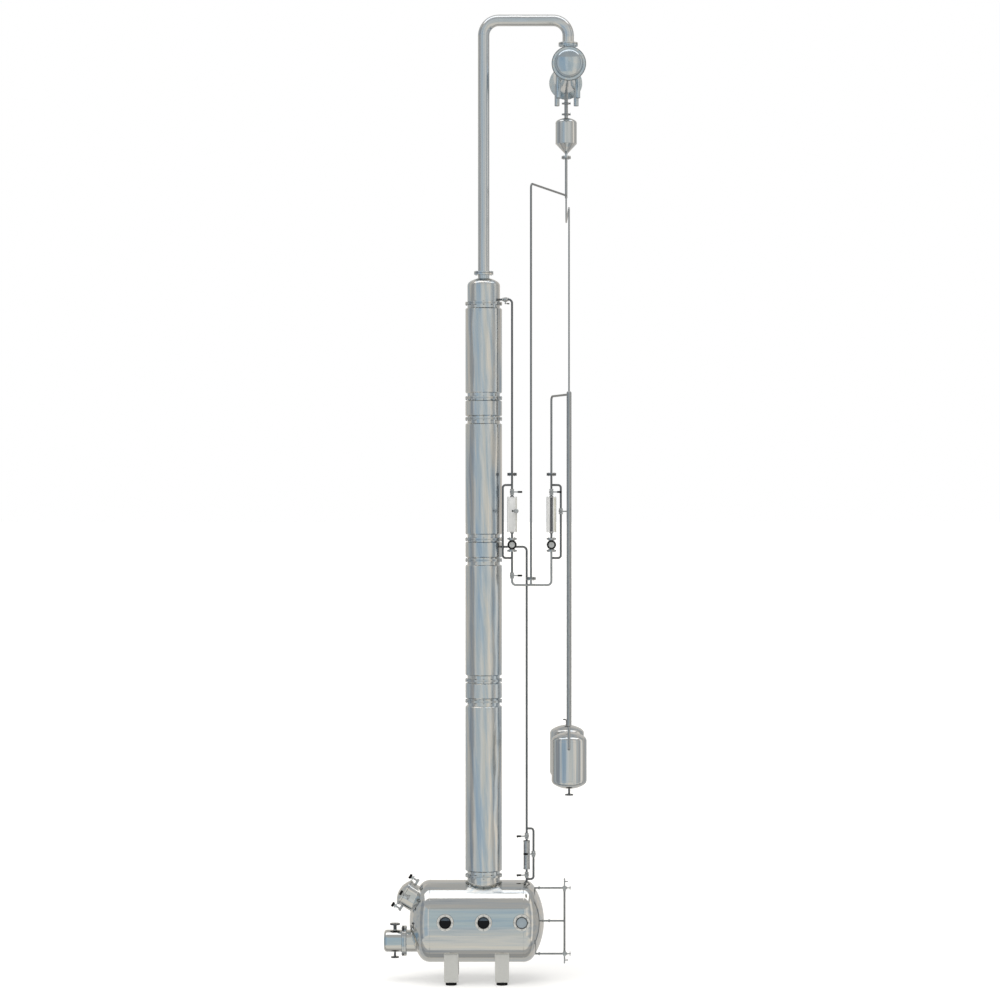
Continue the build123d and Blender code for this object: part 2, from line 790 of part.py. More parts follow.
# Condenser
condenser_bore = condenser_diameter - 2 * condenser_wall
with BuildPart() as condenser_shell:
    front_face = spot(condenser_x, condenser_front, condenser_height)
    rear_face = spot(condenser_x, condenser_rear, condenser_height)
    add_ring(front_face, backward, condenser_diameter, condenser_bore, condenser_rear - condenser_front)
    add_ring(front_face, backward, condenser_flange_diameter, condenser_bore, condenser_flange_thickness)
    add_ring(rear_face, forward, condenser_flange_diameter, condenser_bore, condenser_flange_thickness)
    add_ring(spot(condenser_x, 0, condenser_inlet_joint), down, vapour_flange_diameter, vapour_bore,
             vapour_flange_thickness)
    add_ring(spot(condenser_x, 0, condenser_inlet_joint), down, vapour_diameter, 0,
             condenser_inlet_joint - condenser_height - condenser_bore / 2 - condenser_wall / 2)
    cut_bore(spot(condenser_x, 0, condenser_inlet_joint), down, vapour_bore,
             condenser_inlet_joint - condenser_height)
    cut_bore(spot(condenser_x, separator_y, condenser_height), down, condensate_bore, condenser_diameter)
condenser_shell.part.label = "condenser_shell"


def condenser_head(face, outward):
    """Flanged channel with a dished end."""
    length = condenser_flange_thickness + condenser_head_straight
    with BuildPart() as head:
        add_ring(face, outward, condenser_diameter, condenser_bore, length)
        add_ring(face, outward, condenser_flange_diameter, condenser_bore, condenser_flange_thickness)
        add_dish(face + outward * length, outward, condenser_diameter, condenser_wall)
    return head


condenser_front_head = condenser_head(front_face, forward)
condenser_front_head.part.label = "condenser_front_head"
condenser_rear_head = condenser_head(rear_face, backward)
condenser_rear_head.part.label = "condenser_rear_head"

with BuildPart() as condenser_legs:
    for y in (condenser_leg_front, condenser_leg_rear):
        for side in (-condenser_leg_spacing / 2, condenser_leg_spacing / 2):
            add_ring(spot(condenser_x + side, y, condenser_leg_foot), up, condenser_leg_diameter,
                     condenser_leg_diameter - 2 * condenser_leg_wall, condenser_height - condenser_leg_foot)
    add(condenser_outline, mode=Mode.SUBTRACT)
condenser_legs.part.label = "condenser_legs"

# Condensate pipe with two clamped joints, and the separator under it
with BuildPart() as condensate_pipe:
    condensate_top = spot(condenser_x, separator_y, condenser_height)
    condensate_end = spot(condenser_x, separator_y, separator_shoulder)
    add_ring(condensate_top, down, condensate_diameter, condensate_bore, (condensate_top - condensate_end).Z)
    for height in (upper_clamp_height, lower_clamp_height):
        add_ring(spot(condenser_x, separator_y, height - clamp_width / 2), up, clamp_diameter, condensate_bore,
                 clamp_width)
    chamfer(condensate_pipe.edges().filter_by(GeomType.CIRCLE).filter_by(
        lambda edge: abs(edge.radius - clamp_diameter / 2) < 0.01), clamp_chamfer)
    add(condenser_outline, mode=Mode.SUBTRACT)
    add(separator_outline, mode=Mode.SUBTRACT)
condensate_pipe.part.label = "condensate_pipe"

with BuildPart() as separator_dome:
    add_dish(spot(condenser_x, separator_y, separator_shoulder), up, separator_diameter, separator_wall)
    cut_bore(spot(condenser_x, separator_y, separator_shoulder), up, condensate_bore, separator_diameter)
separator_dome.part.label = "separator_dome"

with BuildPart() as separator_shell:
    add_ring(spot(condenser_x, separator_y, separator_base), up, separator_diameter,
             separator_diameter - 2 * separator_wall, separator_straight)
separator_shell.part.label = "separator_shell"

with BuildPart() as separator_cone:
    cone_plane = along(spot(condenser_x, separator_y, separator_base), down)
    wide = separator_diameter / 2
    narrow = drop_pipe_diameter / 2
    with BuildSketch(cone_plane):
        with BuildLine():
            Polyline((wide, 0), (narrow, separator_cone_height),
                     (narrow, separator_base - separator_joint),
                     (drop_pipe_bore / 2, separator_base - separator_joint),
                     (drop_pipe_bore / 2, separator_cone_height), (wide - separator_wall, 0), close=True)
        make_face()
    revolve(axis=Axis(cone_plane.origin, cone_plane.y_dir))
    add_ring(spot(condenser_x, separator_y, separator_joint), up, pipe_flange_diameter, drop_pipe_bore,
             pipe_flange_thickness)
separator_cone.part.label = "separator_cone"

tee_base = tee_height - drop_pipe_diameter
with BuildPart() as separator_drop_pipe:
    drop_joint = spot(condenser_x, separator_y, separator_joint)
    add_ring(drop_joint, down, drop_pipe_diameter, drop_pipe_bore, separator_joint - tee_base)
    add_ring(drop_joint, down, pipe_flange_diameter, drop_pipe_bore, pipe_flange_thickness)
    add_ring(spot(condenser_x, separator_y, tee_base), up, drop_pipe_diameter, 0, separator_wall)
separator_drop_pipe.part.label = "separator_drop_pipe"

drop_outline = round_outline(spot(condenser_x, separator_y, tee_base), up, drop_pipe_diameter,
                             2 * drop_pipe_diameter)

# Reflux feed, from the separator to the manifold
with BuildPart() as reflux_feed_pipe:
    add_pipe([spot(condenser_x, separator_y, tee_height),
              spot(manifold_feed_x, manifold_y, tee_height + reflux_feed_rise),
              spot(manifold_feed_x, manifold_y, feed_joint_height)], pipe_diameter, pipe_bend)
    add_ring(spot(manifold_feed_x, manifold_y, feed_joint_height), up, pipe_flange_diameter, 0,
             pipe_flange_thickness)
    add(drop_outline, mode=Mode.SUBTRACT)
reflux_feed_pipe.part.label = "reflux_feed_pipe"

# Cooler feed, from the separator to the top of the cooler
with BuildPart() as cooler_feed_pipe:
    add_pipe([spot(condenser_x, separator_y, tee_base), spot(condenser_x, separator_y, cooler_feed_height),
              spot(cooler_x, cooler_y, cooler_feed_height), spot(cooler_x, cooler_y, cooler_top)],
             cooler_feed_diameter, pipe_bend)
cooler_feed_pipe.part.label = "cooler_feed_pipe"

# Product cooler, closed by a rounded cap at each end
with BuildPart() as product_cooler:
    cooler_plane = along(spot(cooler_x, cooler_y, cooler_bottom), up)
    cooler_length = cooler_top - cooler_bottom
    cooler_radius = cooler_diameter / 2
    cooler_hollow = cooler_radius - cooler_wall
    with BuildSketch(cooler_plane):
        with Locations((0, cooler_length / 2)):
            RectangleRounded(cooler_diameter, cooler_length, cooler_radius * 0.75)
            RectangleRounded(2 * cooler_hollow, cooler_length - 2 * cooler_wall, cooler_hollow * 0.75,
                             mode=Mode.SUBTRACT)
        Rectangle(cooler_diameter, cooler_length, align=(Align.MIN, Align.MIN), mode=Mode.INTERSECT)
    revolve(axis=Axis(cooler_plane.origin, cooler_plane.y_dir))
product_cooler.part.label = "product_cooler"

front_receiver = receiver_outline(front_receiver_y)
rear_receiver = receiver_outline(rear_receiver_y)
with BuildPart() as receiver_feed_pipes:
    add_pipe([spot(cooler_x, cooler_y, cooler_bottom), spot(cooler_x, cooler_y, cooler_outlet_height),
              spot(cooler_x, front_receiver_y, cooler_outlet_height)],
             cooler_outlet_diameter, cooler_outlet_bend)
    add_ring(spot(receiver_x, front_receiver_y, receiver_link_height), backward, pipe_diameter, 0,
             rear_receiver_y - front_receiver_y)
    add(front_receiver, mode=Mode.SUBTRACT)
    add(rear_receiver, mode=Mode.SUBTRACT)
receiver_feed_pipes.part.label = "receiver_feed_pipes"

# Receivers
receiver_spots = [(receiver_x, front_receiver_y), (receiver_x, rear_receiver_y)]
with BuildPart() as receiver_shells:
    for x, y in receiver_spots:
        add_ring(spot(x, y, receiver_tangent), up, receiver_diameter, receiver_diameter - 2 * receiver_wall,
                 receiver_straight)
receiver_shells.part.label = "receiver_shells"

with BuildPart() as receiver_top_heads:
    for x, y in receiver_spots:
        add_dish(spot(x, y, receiver_shoulder), up, receiver_diameter, receiver_wall)
receiver_top_heads.part.label = "receiver_top_heads"

with BuildPart() as receiver_vents:
    for x, y in receiver_spots:
        hook_x = x - hook_shift
        add_pipe([spot(hook_x, y, receiver_shoulder), spot(hook_x, y, receiver_top + hook_rise),
                  spot(hook_x - hook_reach, y, receiver_top + hook_rise)], hook_diameter, hook_bend)
    add(front_receiver, mode=Mode.SUBTRACT)
    add(rear_receiver, mode=Mode.SUBTRACT)
receiver_vents.part.label = "receiver_vents"

receiver_drain_face = receiver_bottom - receiver_drain_length
with BuildPart() as receiver_bottom_heads:
    for x, y in receiver_spots:
        add_dish(spot(x, y, receiver_tangent), down, receiver_diameter, receiver_wall)
        face = spot(x, y, receiver_drain_face)
        add_ring(face, up, drain_pipe_diameter, 0, receiver_drain_length + receiver_wall / 2)
        add_ring(face, up, drain_flange_diameter, 0, drain_flange_thickness)
        cut_bolt_holes(face, up, drain_bolt_circle, small_bolt_hole, drain_flange_thickness)
        cut_bore(face, up, drain_pipe_bore, receiver_drain_length + 2 * receiver_wall)
receiver_bottom_heads.part.label = "receiver_bottom_heads"

# Meter manifold
riser_places = [spot(left_riser_x, manifold_y, 0), spot(right_riser_x, manifold_y, 0)]
sight_base = flow_sight_height - flow_sight_face
sight_top = flow_sight_height + flow_sight_face
half_valve = valve_length / 2

with BuildPart() as manifold_header:
    add_pipe([spot(left_riser_x, manifold_y, lower_valve_height - half_valve),
              spot(left_riser_x, manifold_y, header_height), spot(right_riser_x, manifold_y, header_height),
              spot(right_riser_x, manifold_y, sight_base)], pipe_diameter, pipe_bend)
    feed_joint = spot(manifold_feed_x, manifold_y, feed_joint_height)
    add_ring(feed_joint, down, pipe_diameter, 0, feed_joint_height - header_height)
    add_ring(feed_joint, down, pipe_flange_diameter, 0, pipe_flange_thickness)
manifold_header.part.label = "manifold_header"

with BuildPart() as meter_pipes:
    add_ring(riser_places[0] + up * (lower_valve_height + half_valve), up, pipe_diameter, 0,
             sight_base - lower_valve_height - half_valve)
    for place in riser_places:
        add_ring(place + up * sight_top, up, pipe_diameter, 0, meter_bottom - sight_top)
        add_ring(place + up * meter_top, up, pipe_diameter, 0, upper_valve_height - half_valve - meter_top)
        add_hexagon(place + up * meter_bottom, down, meter_union_flats, meter_union_length)
        add_hexagon(place + up * meter_top, up, meter_union_flats, meter_union_length)
        joint = place + up * riser_joint_height
        add_ring(joint, down, pipe_diameter, 0, riser_joint_height - upper_valve_height - half_valve)
        add_ring(joint, down, pipe_flange_diameter, 0, pipe_flange_thickness)
meter_pipes.part.label = "meter_pipes"

drum_start = backward * (-flow_sight_depth / 2)
with BuildPart() as flow_sight_bodies:
    for place in riser_places:
        centre = place + up * flow_sight_height
        add_ring(place + up * sight_base, up, valve_diameter, 0, 2 * flow_sight_face)
        for face, direction in ((sight_base, up), (sight_top, down)):
            add_ring(place + up * face, direction, pipe_flange_diameter, 0, flow_sight_flange_thickness)
        add_ring(centre + drum_start, backward, flow_sight_diameter, 0, flow_sight_depth)
        cut_bore(centre + drum_start, backward, flow_sight_bore, flow_sight_depth)
        for end in (forward, backward):
            cut_bore(centre + end * (flow_sight_depth / 2), -end,
                     flow_sight_glass, flow_glass_thickness + seat)
flow_sight_bodies.part.label = "flow_sight_bodies"

with BuildPart() as flow_sight_glasses:
    for place in riser_places:
        for end in (forward, backward):
            face = place + up * flow_sight_height + end * (flow_sight_depth / 2)
            add_ring(face, -end, flow_sight_glass - 2 * seat, 0, flow_glass_thickness)
flow_sight_glasses.part.label = "flow_sight_glasses"

with BuildPart() as meter_housings:
    for place in riser_places:
        bottom = Plane(place + up * meter_bottom)
        with BuildSketch(bottom):
            Rectangle(meter_width, meter_depth)
        extrude(amount=meter_height)
        with BuildSketch(bottom.offset(meter_sheet)):
            Rectangle(meter_width - 2 * meter_sheet, meter_depth - 2 * meter_sheet)
            with Locations((0, -meter_depth / 2)):
                Rectangle(meter_window, 4 * meter_sheet)
        extrude(amount=meter_height - 2 * meter_sheet, mode=Mode.SUBTRACT)
meter_housings.part.label = "meter_housings"

with BuildPart() as meter_tubes:
    for place in riser_places:
        add_ring(place + up * (meter_bottom + meter_sheet + seat), up, meter_tube_diameter, 0,
                 meter_height - 2 * (meter_sheet + seat))
meter_tubes.part.label = "meter_tubes"

left_riser_outline = round_outline(riser_places[0] + up * header_height, up, pipe_diameter,
                                   riser_joint_height - header_height)
right_riser_outline = round_outline(riser_places[1] + up * header_height, up, pipe_diameter,
                                    riser_joint_height - header_height)
return_outline = round_outline(spot(return_x, 0, kettle_height), up, pipe_diameter,
                               return_nozzle_height - kettle_height)

reflux_centre = spot(0, 0, reflux_nozzle_height)
reflux_valve_place = reflux_centre + reflux_direction * reflux_valve_reach
with BuildPart() as reflux_riser:
    riser_foot = riser_places[0] + up * riser_joint_height
    add_pipe([riser_foot, riser_places[0] + up * reflux_nozzle_height,
              reflux_valve_place + reflux_direction * half_valve], pipe_diameter, pipe_bend)
    add_ring(riser_foot, up, pipe_flange_diameter, 0, pipe_flange_thickness)
    add_ring(reflux_valve_place - reflux_direction * half_valve, -reflux_direction, pipe_diameter, 0,
             reflux_valve_reach - half_valve - column_diameter / 2 + column_wall)
    add(column_outline, mode=Mode.SUBTRACT)
reflux_riser.part.label = "reflux_riser"

cooler_outline = round_outline(spot(cooler_x, cooler_y, cooler_bottom), up, cooler_diameter, cooler_length)
with BuildPart() as product_riser:
    riser_foot = riser_places[1] + up * riser_joint_height
    add_pipe([riser_foot, riser_places[1] + up * cooler_link_height,
              spot(cooler_x, cooler_y, cooler_link_height)], pipe_diameter, pipe_bend)
    add_ring(riser_foot, up, pipe_flange_diameter, 0, pipe_flange_thickness)
    add(cooler_outline, mode=Mode.SUBTRACT)
product_riser.part.label = "product_riser"

with BuildPart() as bypass_pipes:
    add_pipe([spot(left_riser_x, manifold_y, upper_tee_height),
              spot(left_bypass_x, manifold_y, upper_tee_height),
              spot(left_bypass_x, manifold_y, lower_tee_height),
              spot(left_riser_x, manifold_y, lower_tee_height)], pipe_diameter, bypass_bend)
    for riser_x, bypass_x, y, top, valve, bottom in (
            (right_riser_x, right_bypass_x, manifold_y,
             upper_tee_height, bypass_valve_height, lower_tee_height),
            (return_x, return_bypass_x, 0,
             return_upper_tee_height, return_bypass_valve, return_lower_tee_height)):
        for tee, end in ((top, valve + half_valve), (bottom, valve - half_valve)):
            add_pipe([spot(riser_x, y, tee), spot(bypass_x, y, tee), spot(bypass_x, y, end)],
                     pipe_diameter, bypass_bend)
    add(left_riser_outline, mode=Mode.SUBTRACT)
    add(right_riser_outline, mode=Mode.SUBTRACT)
    add(return_outline, mode=Mode.SUBTRACT)
bypass_pipes.part.label = "bypass_pipes"

# Return line with its flowmeter
with BuildPart() as return_pipe:
    add_pipe([spot(column_diameter / 2 - column_wall, 0, return_nozzle_height),
              spot(return_x, 0, return_nozzle_height), spot(return_x, 0, return_upper_valve + half_valve)],
             pipe_diameter, pipe_bend)
    add(column_outline, mode=Mode.SUBTRACT)
    add_ring(spot(return_x, 0, return_upper_valve - half_valve), down, pipe_diameter, 0,
             return_upper_valve - half_valve - return_meter_top)
    add_ring(spot(return_x, 0, return_meter_base), down, pipe_diameter, 0,
             return_meter_base - return_lower_valve - half_valve)
    add_ring(spot(return_x, 0, return_lower_valve - half_valve), down, pipe_diameter, 0, valve_length)
    add(kettle_outline, mode=Mode.SUBTRACT)
return_pipe.part.label = "return_pipe"

with BuildPart() as return_meter:
    add_ring(spot(return_x, 0, return_meter_base), up, return_meter_diameter, 0, return_meter_height)
    chamfer(return_meter.edges().filter_by(GeomType.CIRCLE), meter_sheet)
return_meter.part.label = "return_meter"

# Ball valves: where each stands, its run, its stem and its lever
valve_places = [
    (spot(left_riser_x, manifold_y, lower_valve_height), up, forward, right),
    (spot(left_riser_x, manifold_y, upper_valve_height), up, forward, right),
    (spot(right_riser_x, manifold_y, upper_valve_height), up, forward, right),
    (spot(right_bypass_x, manifold_y, bypass_valve_height), up, forward, right),
    (spot(return_x, 0, return_upper_valve), up, forward, left),
    (spot(return_x, 0, return_lower_valve), up, forward, left),
    (spot(return_bypass_x, 0, return_bypass_valve), up, forward, left),
    (reflux_valve_place, reflux_direction, down, -reflux_side),
    (spot(left_riser_x + sample_valve_shift, manifold_y - meter_depth / 2 - seat - half_valve,
          sample_valve_height), forward, left, forward),
]


def valve_section():
    """Half section of a valve body: round ends and a fuller middle."""
    with BuildSketch() as section:
        Rectangle(valve_end_diameter, valve_length)
        Rectangle(valve_diameter, valve_length / 2)
        chamfer(section.vertices().group_by(Axis.X)[-1], valve_chamfer)
        Rectangle(valve_diameter, valve_length, align=(Align.MIN, Align.CENTER), mode=Mode.INTERSECT)
    return section.sketch


body_section = valve_section()
with BuildPart() as ball_valves:
    for place, run, stem, lever in valve_places:
        body_plane = along(place, run)
        with BuildSketch(body_plane):
            add(body_section)
        revolve(axis=Axis(body_plane.origin, body_plane.y_dir))
        for end in (run, -run):
            add_hexagon(place + end * half_valve, -end, valve_union_flats, valve_union_length)
        add_ring(place, stem, valve_stem_diameter, 0, valve_stem_length)
ball_valves.part.label = "ball_valves"

with BuildPart() as valve_levers:
    for place, run, stem, lever in valve_places:
        lever_plane = Plane(origin=place + stem * (valve_stem_length + seat), x_dir=lever, z_dir=stem)
        with BuildSketch(lever_plane):
            with Locations((lever_length / 2 - lever_width / 2, 0)):
                SlotOverall(lever_length, lever_width)
            if lever == left:
                with Locations((lever_length - lever_width, lever_tip / 2 - lever_width / 2)):
                    SlotOverall(lever_tip, lever_width, rotation=90)
        extrude(amount=lever_thickness)
valve_levers.part.label = "valve_levers"

# Level gauge
gauge_heights = [kettle_height - gauge_arm_rise, kettle_height, kettle_height + gauge_arm_rise]
gauge_unions = [gauge_outer_union_x, gauge_middle_union_x, gauge_outer_union_x]
gauge_ends = [gauge_x - gauge_valve_width / 2, gauge_x, gauge_x - gauge_valve_width / 2]
gauge_outline = round_outline(
    spot(gauge_x, 0, gauge_heights[0]), up, gauge_glass_diameter, 2 * gauge_arm_rise)
with BuildPart() as gauge_arms:
    for height, union_x, end in zip(gauge_heights, gauge_unions, gauge_ends):
        add_ring(spot(kettle_right, 0, height), right, gauge_pipe_diameter, 0, end - kettle_right)
        add_hexagon(spot(union_x, 0, height), right, gauge_union_flats, gauge_union_width)
    add(kettle_outline, mode=Mode.SUBTRACT)
    add(gauge_outline, mode=Mode.SUBTRACT)
gauge_arms.part.label = "gauge_arms"

with BuildPart() as gauge_valves:
    for height, outward in ((gauge_heights[0], down), (gauge_heights[2], up)):
        middle = spot(gauge_x, 0, height)
        with BuildSketch(facing(middle - outward * (gauge_valve_width / 2), outward)):
            Rectangle(gauge_valve_width, gauge_valve_width)
        extrude(amount=gauge_valve_width)
        add_ring(middle, outward, gauge_pipe_diameter * 0.8, 0, gauge_overrun)
        add_ring(middle, right, valve_stem_diameter, 0, gauge_wheel_reach)
        add_ring(middle + outward * gauge_cock_offset, right, valve_stem_diameter, 0, gauge_cock_reach)
gauge_valves.part.label = "gauge_valves"

with BuildPart() as gauge_glass:
    add_ring(spot(gauge_x, 0, gauge_heights[0] + gauge_valve_width / 2), up, gauge_glass_diameter, 0,
             2 * gauge_arm_rise - gauge_valve_width)
gauge_glass.part.label = "gauge_glass"

with BuildPart() as gauge_wheels:
    for height in (gauge_heights[0], gauge_heights[2]):
        with BuildSketch(facing(spot(gauge_x + gauge_wheel_reach + seat, 0, height), right)):
            Circle(gauge_wheel_diameter / 2)
            Circle(gauge_wheel_diameter / 2 - gauge_spoke_width, mode=Mode.SUBTRACT)
            Circle(gauge_hub_diameter / 2)
            for turn in (45, 135):
                Rectangle(gauge_wheel_diameter - gauge_spoke_width, gauge_spoke_width, rotation=turn)
        extrude(amount=gauge_wheel_thickness)
gauge_wheels.part.label = "gauge_wheels"

pieces = [
    kettle_shell, kettle_head_left, kettle_head_right, kettle_legs, kettle_feet, manway_neck, manway_cover,
    manway_swing_bolts, manway_knobs, sight_glass_rings, sight_glass_panes, heater_neck, heater_bonnet,
    column_stub, section_cladding, spool_cladding, column_head, vapour_riser, vapour_crossover,
    condenser_shell, condenser_front_head, condenser_rear_head, condenser_legs, condensate_pipe,
    separator_dome, separator_shell, separator_cone, separator_drop_pipe, reflux_feed_pipe, cooler_feed_pipe,
    product_cooler, receiver_feed_pipes, receiver_shells, receiver_top_heads, receiver_vents,
    receiver_bottom_heads, manifold_header, meter_pipes, flow_sight_bodies,
    flow_sight_glasses, meter_housings, meter_tubes, reflux_riser, product_riser, bypass_pipes, return_pipe,
    return_meter, ball_valves, valve_levers, gauge_arms, gauge_valves, gauge_glass, gauge_wheels,
]

os.makedirs("parts", exist_ok=True)
for part in [piece.part for piece in pieces] + column_sections + column_spools:
    export_step(part, f"parts/{part.label}.step")
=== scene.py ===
import bmesh
import bpy
import math
from mathutils import Matrix, Vector


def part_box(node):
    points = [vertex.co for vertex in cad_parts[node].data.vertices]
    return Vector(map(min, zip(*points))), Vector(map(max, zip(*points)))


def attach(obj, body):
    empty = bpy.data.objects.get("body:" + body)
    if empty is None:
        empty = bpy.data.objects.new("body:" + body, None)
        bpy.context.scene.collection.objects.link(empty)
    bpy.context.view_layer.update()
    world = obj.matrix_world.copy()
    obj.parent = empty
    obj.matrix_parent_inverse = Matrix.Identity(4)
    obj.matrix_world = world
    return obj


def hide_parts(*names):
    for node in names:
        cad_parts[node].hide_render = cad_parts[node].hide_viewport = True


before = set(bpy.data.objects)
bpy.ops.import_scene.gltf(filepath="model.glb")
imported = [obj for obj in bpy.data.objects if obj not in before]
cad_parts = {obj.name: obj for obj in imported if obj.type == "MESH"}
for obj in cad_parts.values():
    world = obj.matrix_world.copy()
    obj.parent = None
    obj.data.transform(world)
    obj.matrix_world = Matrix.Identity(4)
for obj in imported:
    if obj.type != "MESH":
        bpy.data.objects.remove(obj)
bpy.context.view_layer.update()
print("frame loaded:", len(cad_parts), "nodes")

up = Vector((0, 0, 1))
down = Vector((0, 0, -1))
left = Vector((-1, 0, 0))
right = Vector((1, 0, 0))
forward = Vector((0, -1, 0))
backward = Vector((0, 1, 0))
columnLow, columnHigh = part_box("column_section_1")
columnAxis = (columnLow + columnHigh) / 2


def at(x, y, z):  # millimetres from the column's axis and the floor, as metres in the frame
    return Vector((columnAxis.x + x / 1000, columnAxis.y + y / 1000, z / 1000))


# The plant's main sizes in millimetres, which the dressing is set out from
plant = {
    "columnJoints": (1056, 2800, 3008, 4208, 4416, 5620, 5828, 6772),
    "columnFlange": 368, "columnDiameter": 325, "claddingDiameter": 365, "headSeam": 6948,
    "kettleDiameter": 812, "kettleHeight": 600, "kettleEnds": (-534, 396), "legX": (-321, 183),
    "legRows": (-231, 231), "sightX": (-377, 0, 377), "sightHeight": 647, "manwayFoot": (-701.3, 0, 830),
    "manwayTilt": 32, "heaterFoot": (-560, 0, 401), "heaterJoint": (-794, 0, 401),
    "receiverX": 845, "receiverY": (-380, 500), "receiverDiameter": 346,
    "condenserX": 845, "condenserHeight": 9132, "condenserEnds": (-260, 1030), "condenserFlange": 340,
    "vapourDiameter": 114.3, "vapourTop": 9604, "vapourBend": 152, "vapourFlange": 193, "inletJoint": 9364,
    "separatorY": 850, "separatorDiameter": 219, "dropJoint": 8338,
    "manifoldY": -100, "risers": (283, 675), "feedX": 472, "feedJoint": 4025, "riserJoint": 5064,
    "pipeFlange": 95, "returnX": 430,
}


# Shader maths written as expressions

class Wire:
    def __init__(self, shader, socket):
        self.shader = shader
        self.socket = socket

    def maths(self, operation, first, second):
        return self.shader.node("ShaderNodeMath", {"operation": operation}, {0: first, 1: second}).out(0)

    def __add__(self, other):
        return self.maths("ADD", self, other)

    def __radd__(self, other):
        return self.maths("ADD", other, self)

    def __mul__(self, other):
        return self.maths("MULTIPLY", self, other)

    def __gt__(self, other):
        return self.maths("GREATER_THAN", self, other)

    def __lt__(self, other):
        return self.maths("LESS_THAN", self, other)

    def larger(self, other):
        return self.maths("MAXIMUM", self, other)


class Step:
    def __init__(self, shader, made):
        self.shader = shader
        self.made = made

    def out(self, name):
        return Wire(self.shader, self.made.outputs[name])


class Shader:
    def __init__(self, tree):
        self.tree = tree
        tree.nodes.clear()

    def node(self, kind, settings=None, sockets=None):
        made = self.tree.nodes.new(kind)
        for name, value in (settings or {}).items():
            if name == "stops":  # positions and colours of a ramp
                ramp = made.color_ramp.elements
                while len(ramp) < len(value):
                    ramp.new(0.5)
                for element, (position, colour) in zip(ramp, value):
                    element.position = position
                    element.color = colour
            else:
                setattr(made, name, value)
        for name, value in (sockets or {}).items():
            if isinstance(value, Wire):
                self.tree.links.new(value.socket, made.inputs[name])
            else:
                made.inputs[name].default_value = value
        return Step(self, made)

    def blend(self, share, first, second, kind="MIX"):  # sockets 6, 7 and 2 are the mix node's colours
        return self.node("ShaderNodeMix", {"data_type": "RGBA", "blend_type": kind}, {
            0: share, 6: first, 7: second}).out(2)

    def ramp(self, stops, share):
        return self.node("ShaderNodeValToRGB", {"stops": [(stop, rgba(tone)) for stop, tone in stops]}, {
            "Fac": share}).out("Color")

    def place(self):
        return self.node("ShaderNodeTexCoord").out("Object")

    def height(self, place):
        return self.node("ShaderNodeSeparateXYZ", {}, {"Vector": place}).out("Z")

    def mapped(self, place, kind, amounts):
        return self.node("ShaderNodeMapping", {}, {"Vector": place, kind: amounts}).out("Vector")

    def clouds(self, place, scale, detail, roughness=0.5):
        return self.node("ShaderNodeTexNoise", {}, {
            "Vector": place, "Scale": scale, "Detail": detail, "Roughness": roughness}).out("Fac")

    def glow(self, colour, strength=1):
        return self.node("ShaderNodeEmission", {}, {"Color": rgba(colour), "Strength": strength}).out(0)

    def finish(self, surface, kind="Material"):
        self.node("ShaderNodeOutput" + kind, {}, {"Surface": surface})


def rgba(colour):
    return (colour[0], colour[1], colour[2], 1)


def newShader(name):
    material = bpy.data.materials.new(name)
    material.use_nodes = True
    return material, Shader(material.node_tree)


# Brushed or polished steel: long streaks along the grain, tinted from blue-grey to cream as partly grain and
# partly painted reflection, and a faint waviness in the sheet
def steelFinish(name, look):
    material, shader = newShader(name)
    place = shader.place()
    leaning = shader.mapped(place, "Rotation", look.get("lean", (0, 0, 0)))
    streaks = shader.clouds(shader.mapped(leaning, "Scale", look["grain"]), look["streakScale"], 5, 0.62)
    sheet = shader.mapped(place, "Scale", look.get("waveGrain", (1, 1, 1)))
    waves = shader.clouds(sheet, look["cloudScale"], 2)
    # painted reflection: the streak tones run from blue-grey to cream for what the steel mirrors, on top of
    # its grain
    tint = shader.ramp(zip(look["stops"], look["tones"]), streaks)
    if "darkBelow" in look:  # a darker tone below one height, and above another where given: on the heater's nozzles it is painted shade and dark reflection, on the receivers' bottom heads it is darker towards the bottom
        height = shader.height(place)
        mask = height < look["darkBelow"]
        if "darkAbove" in look:
            mask = mask + (height > look["darkAbove"])
        tint = shader.blend(mask, tint, rgba(look["darkTone"]))
    if "heights" in look:  # painted reflection: the shell is tinted bluer round its middle, where it mirrors the blue-grey of the studio
        tint = shader.blend(1, tint, shader.ramp(look["heights"], shader.height(place)), "MULTIPLY")
    bump = shader.node("ShaderNodeBump", {}, {
        "Height": waves, "Strength": look["waviness"], "Distance": look["waveDepth"]}).out("Normal")
    surface = shader.node("ShaderNodeBsdfPrincipled", {}, {
        "Base Color": tint, "Metallic": 1, "Roughness": look["roughness"] + streaks * look["spread"],
        "Normal": bump}).out("BSDF")
    shader.finish(surface)
    return material


def plainFinish(name, look):
    material, shader = newShader(name)
    place = shader.place()
    speckle = shader.clouds(place, look["speckleScale"], 3)
    tint = shader.blend(speckle, rgba(look["dark"]), rgba(look["light"]))
    if "paintedReflectionAbove" in look:  # painted reflection: the glass is lighter and bluer above a given height, for the sky it mirrors there
        tint = shader.blend(shader.height(place) > look["paintedReflectionAbove"], tint, rgba(look["paintedReflectionTone"]))
    surface = shader.node("ShaderNodeBsdfPrincipled", {}, {
        "Base Color": tint, "Metallic": look.get("metallic", 0),
        "Roughness": look["roughness"] + speckle * look["spread"],
        "IOR": look.get("ior", 1.45)}).out("BSDF")
    shader.finish(surface)
    return material


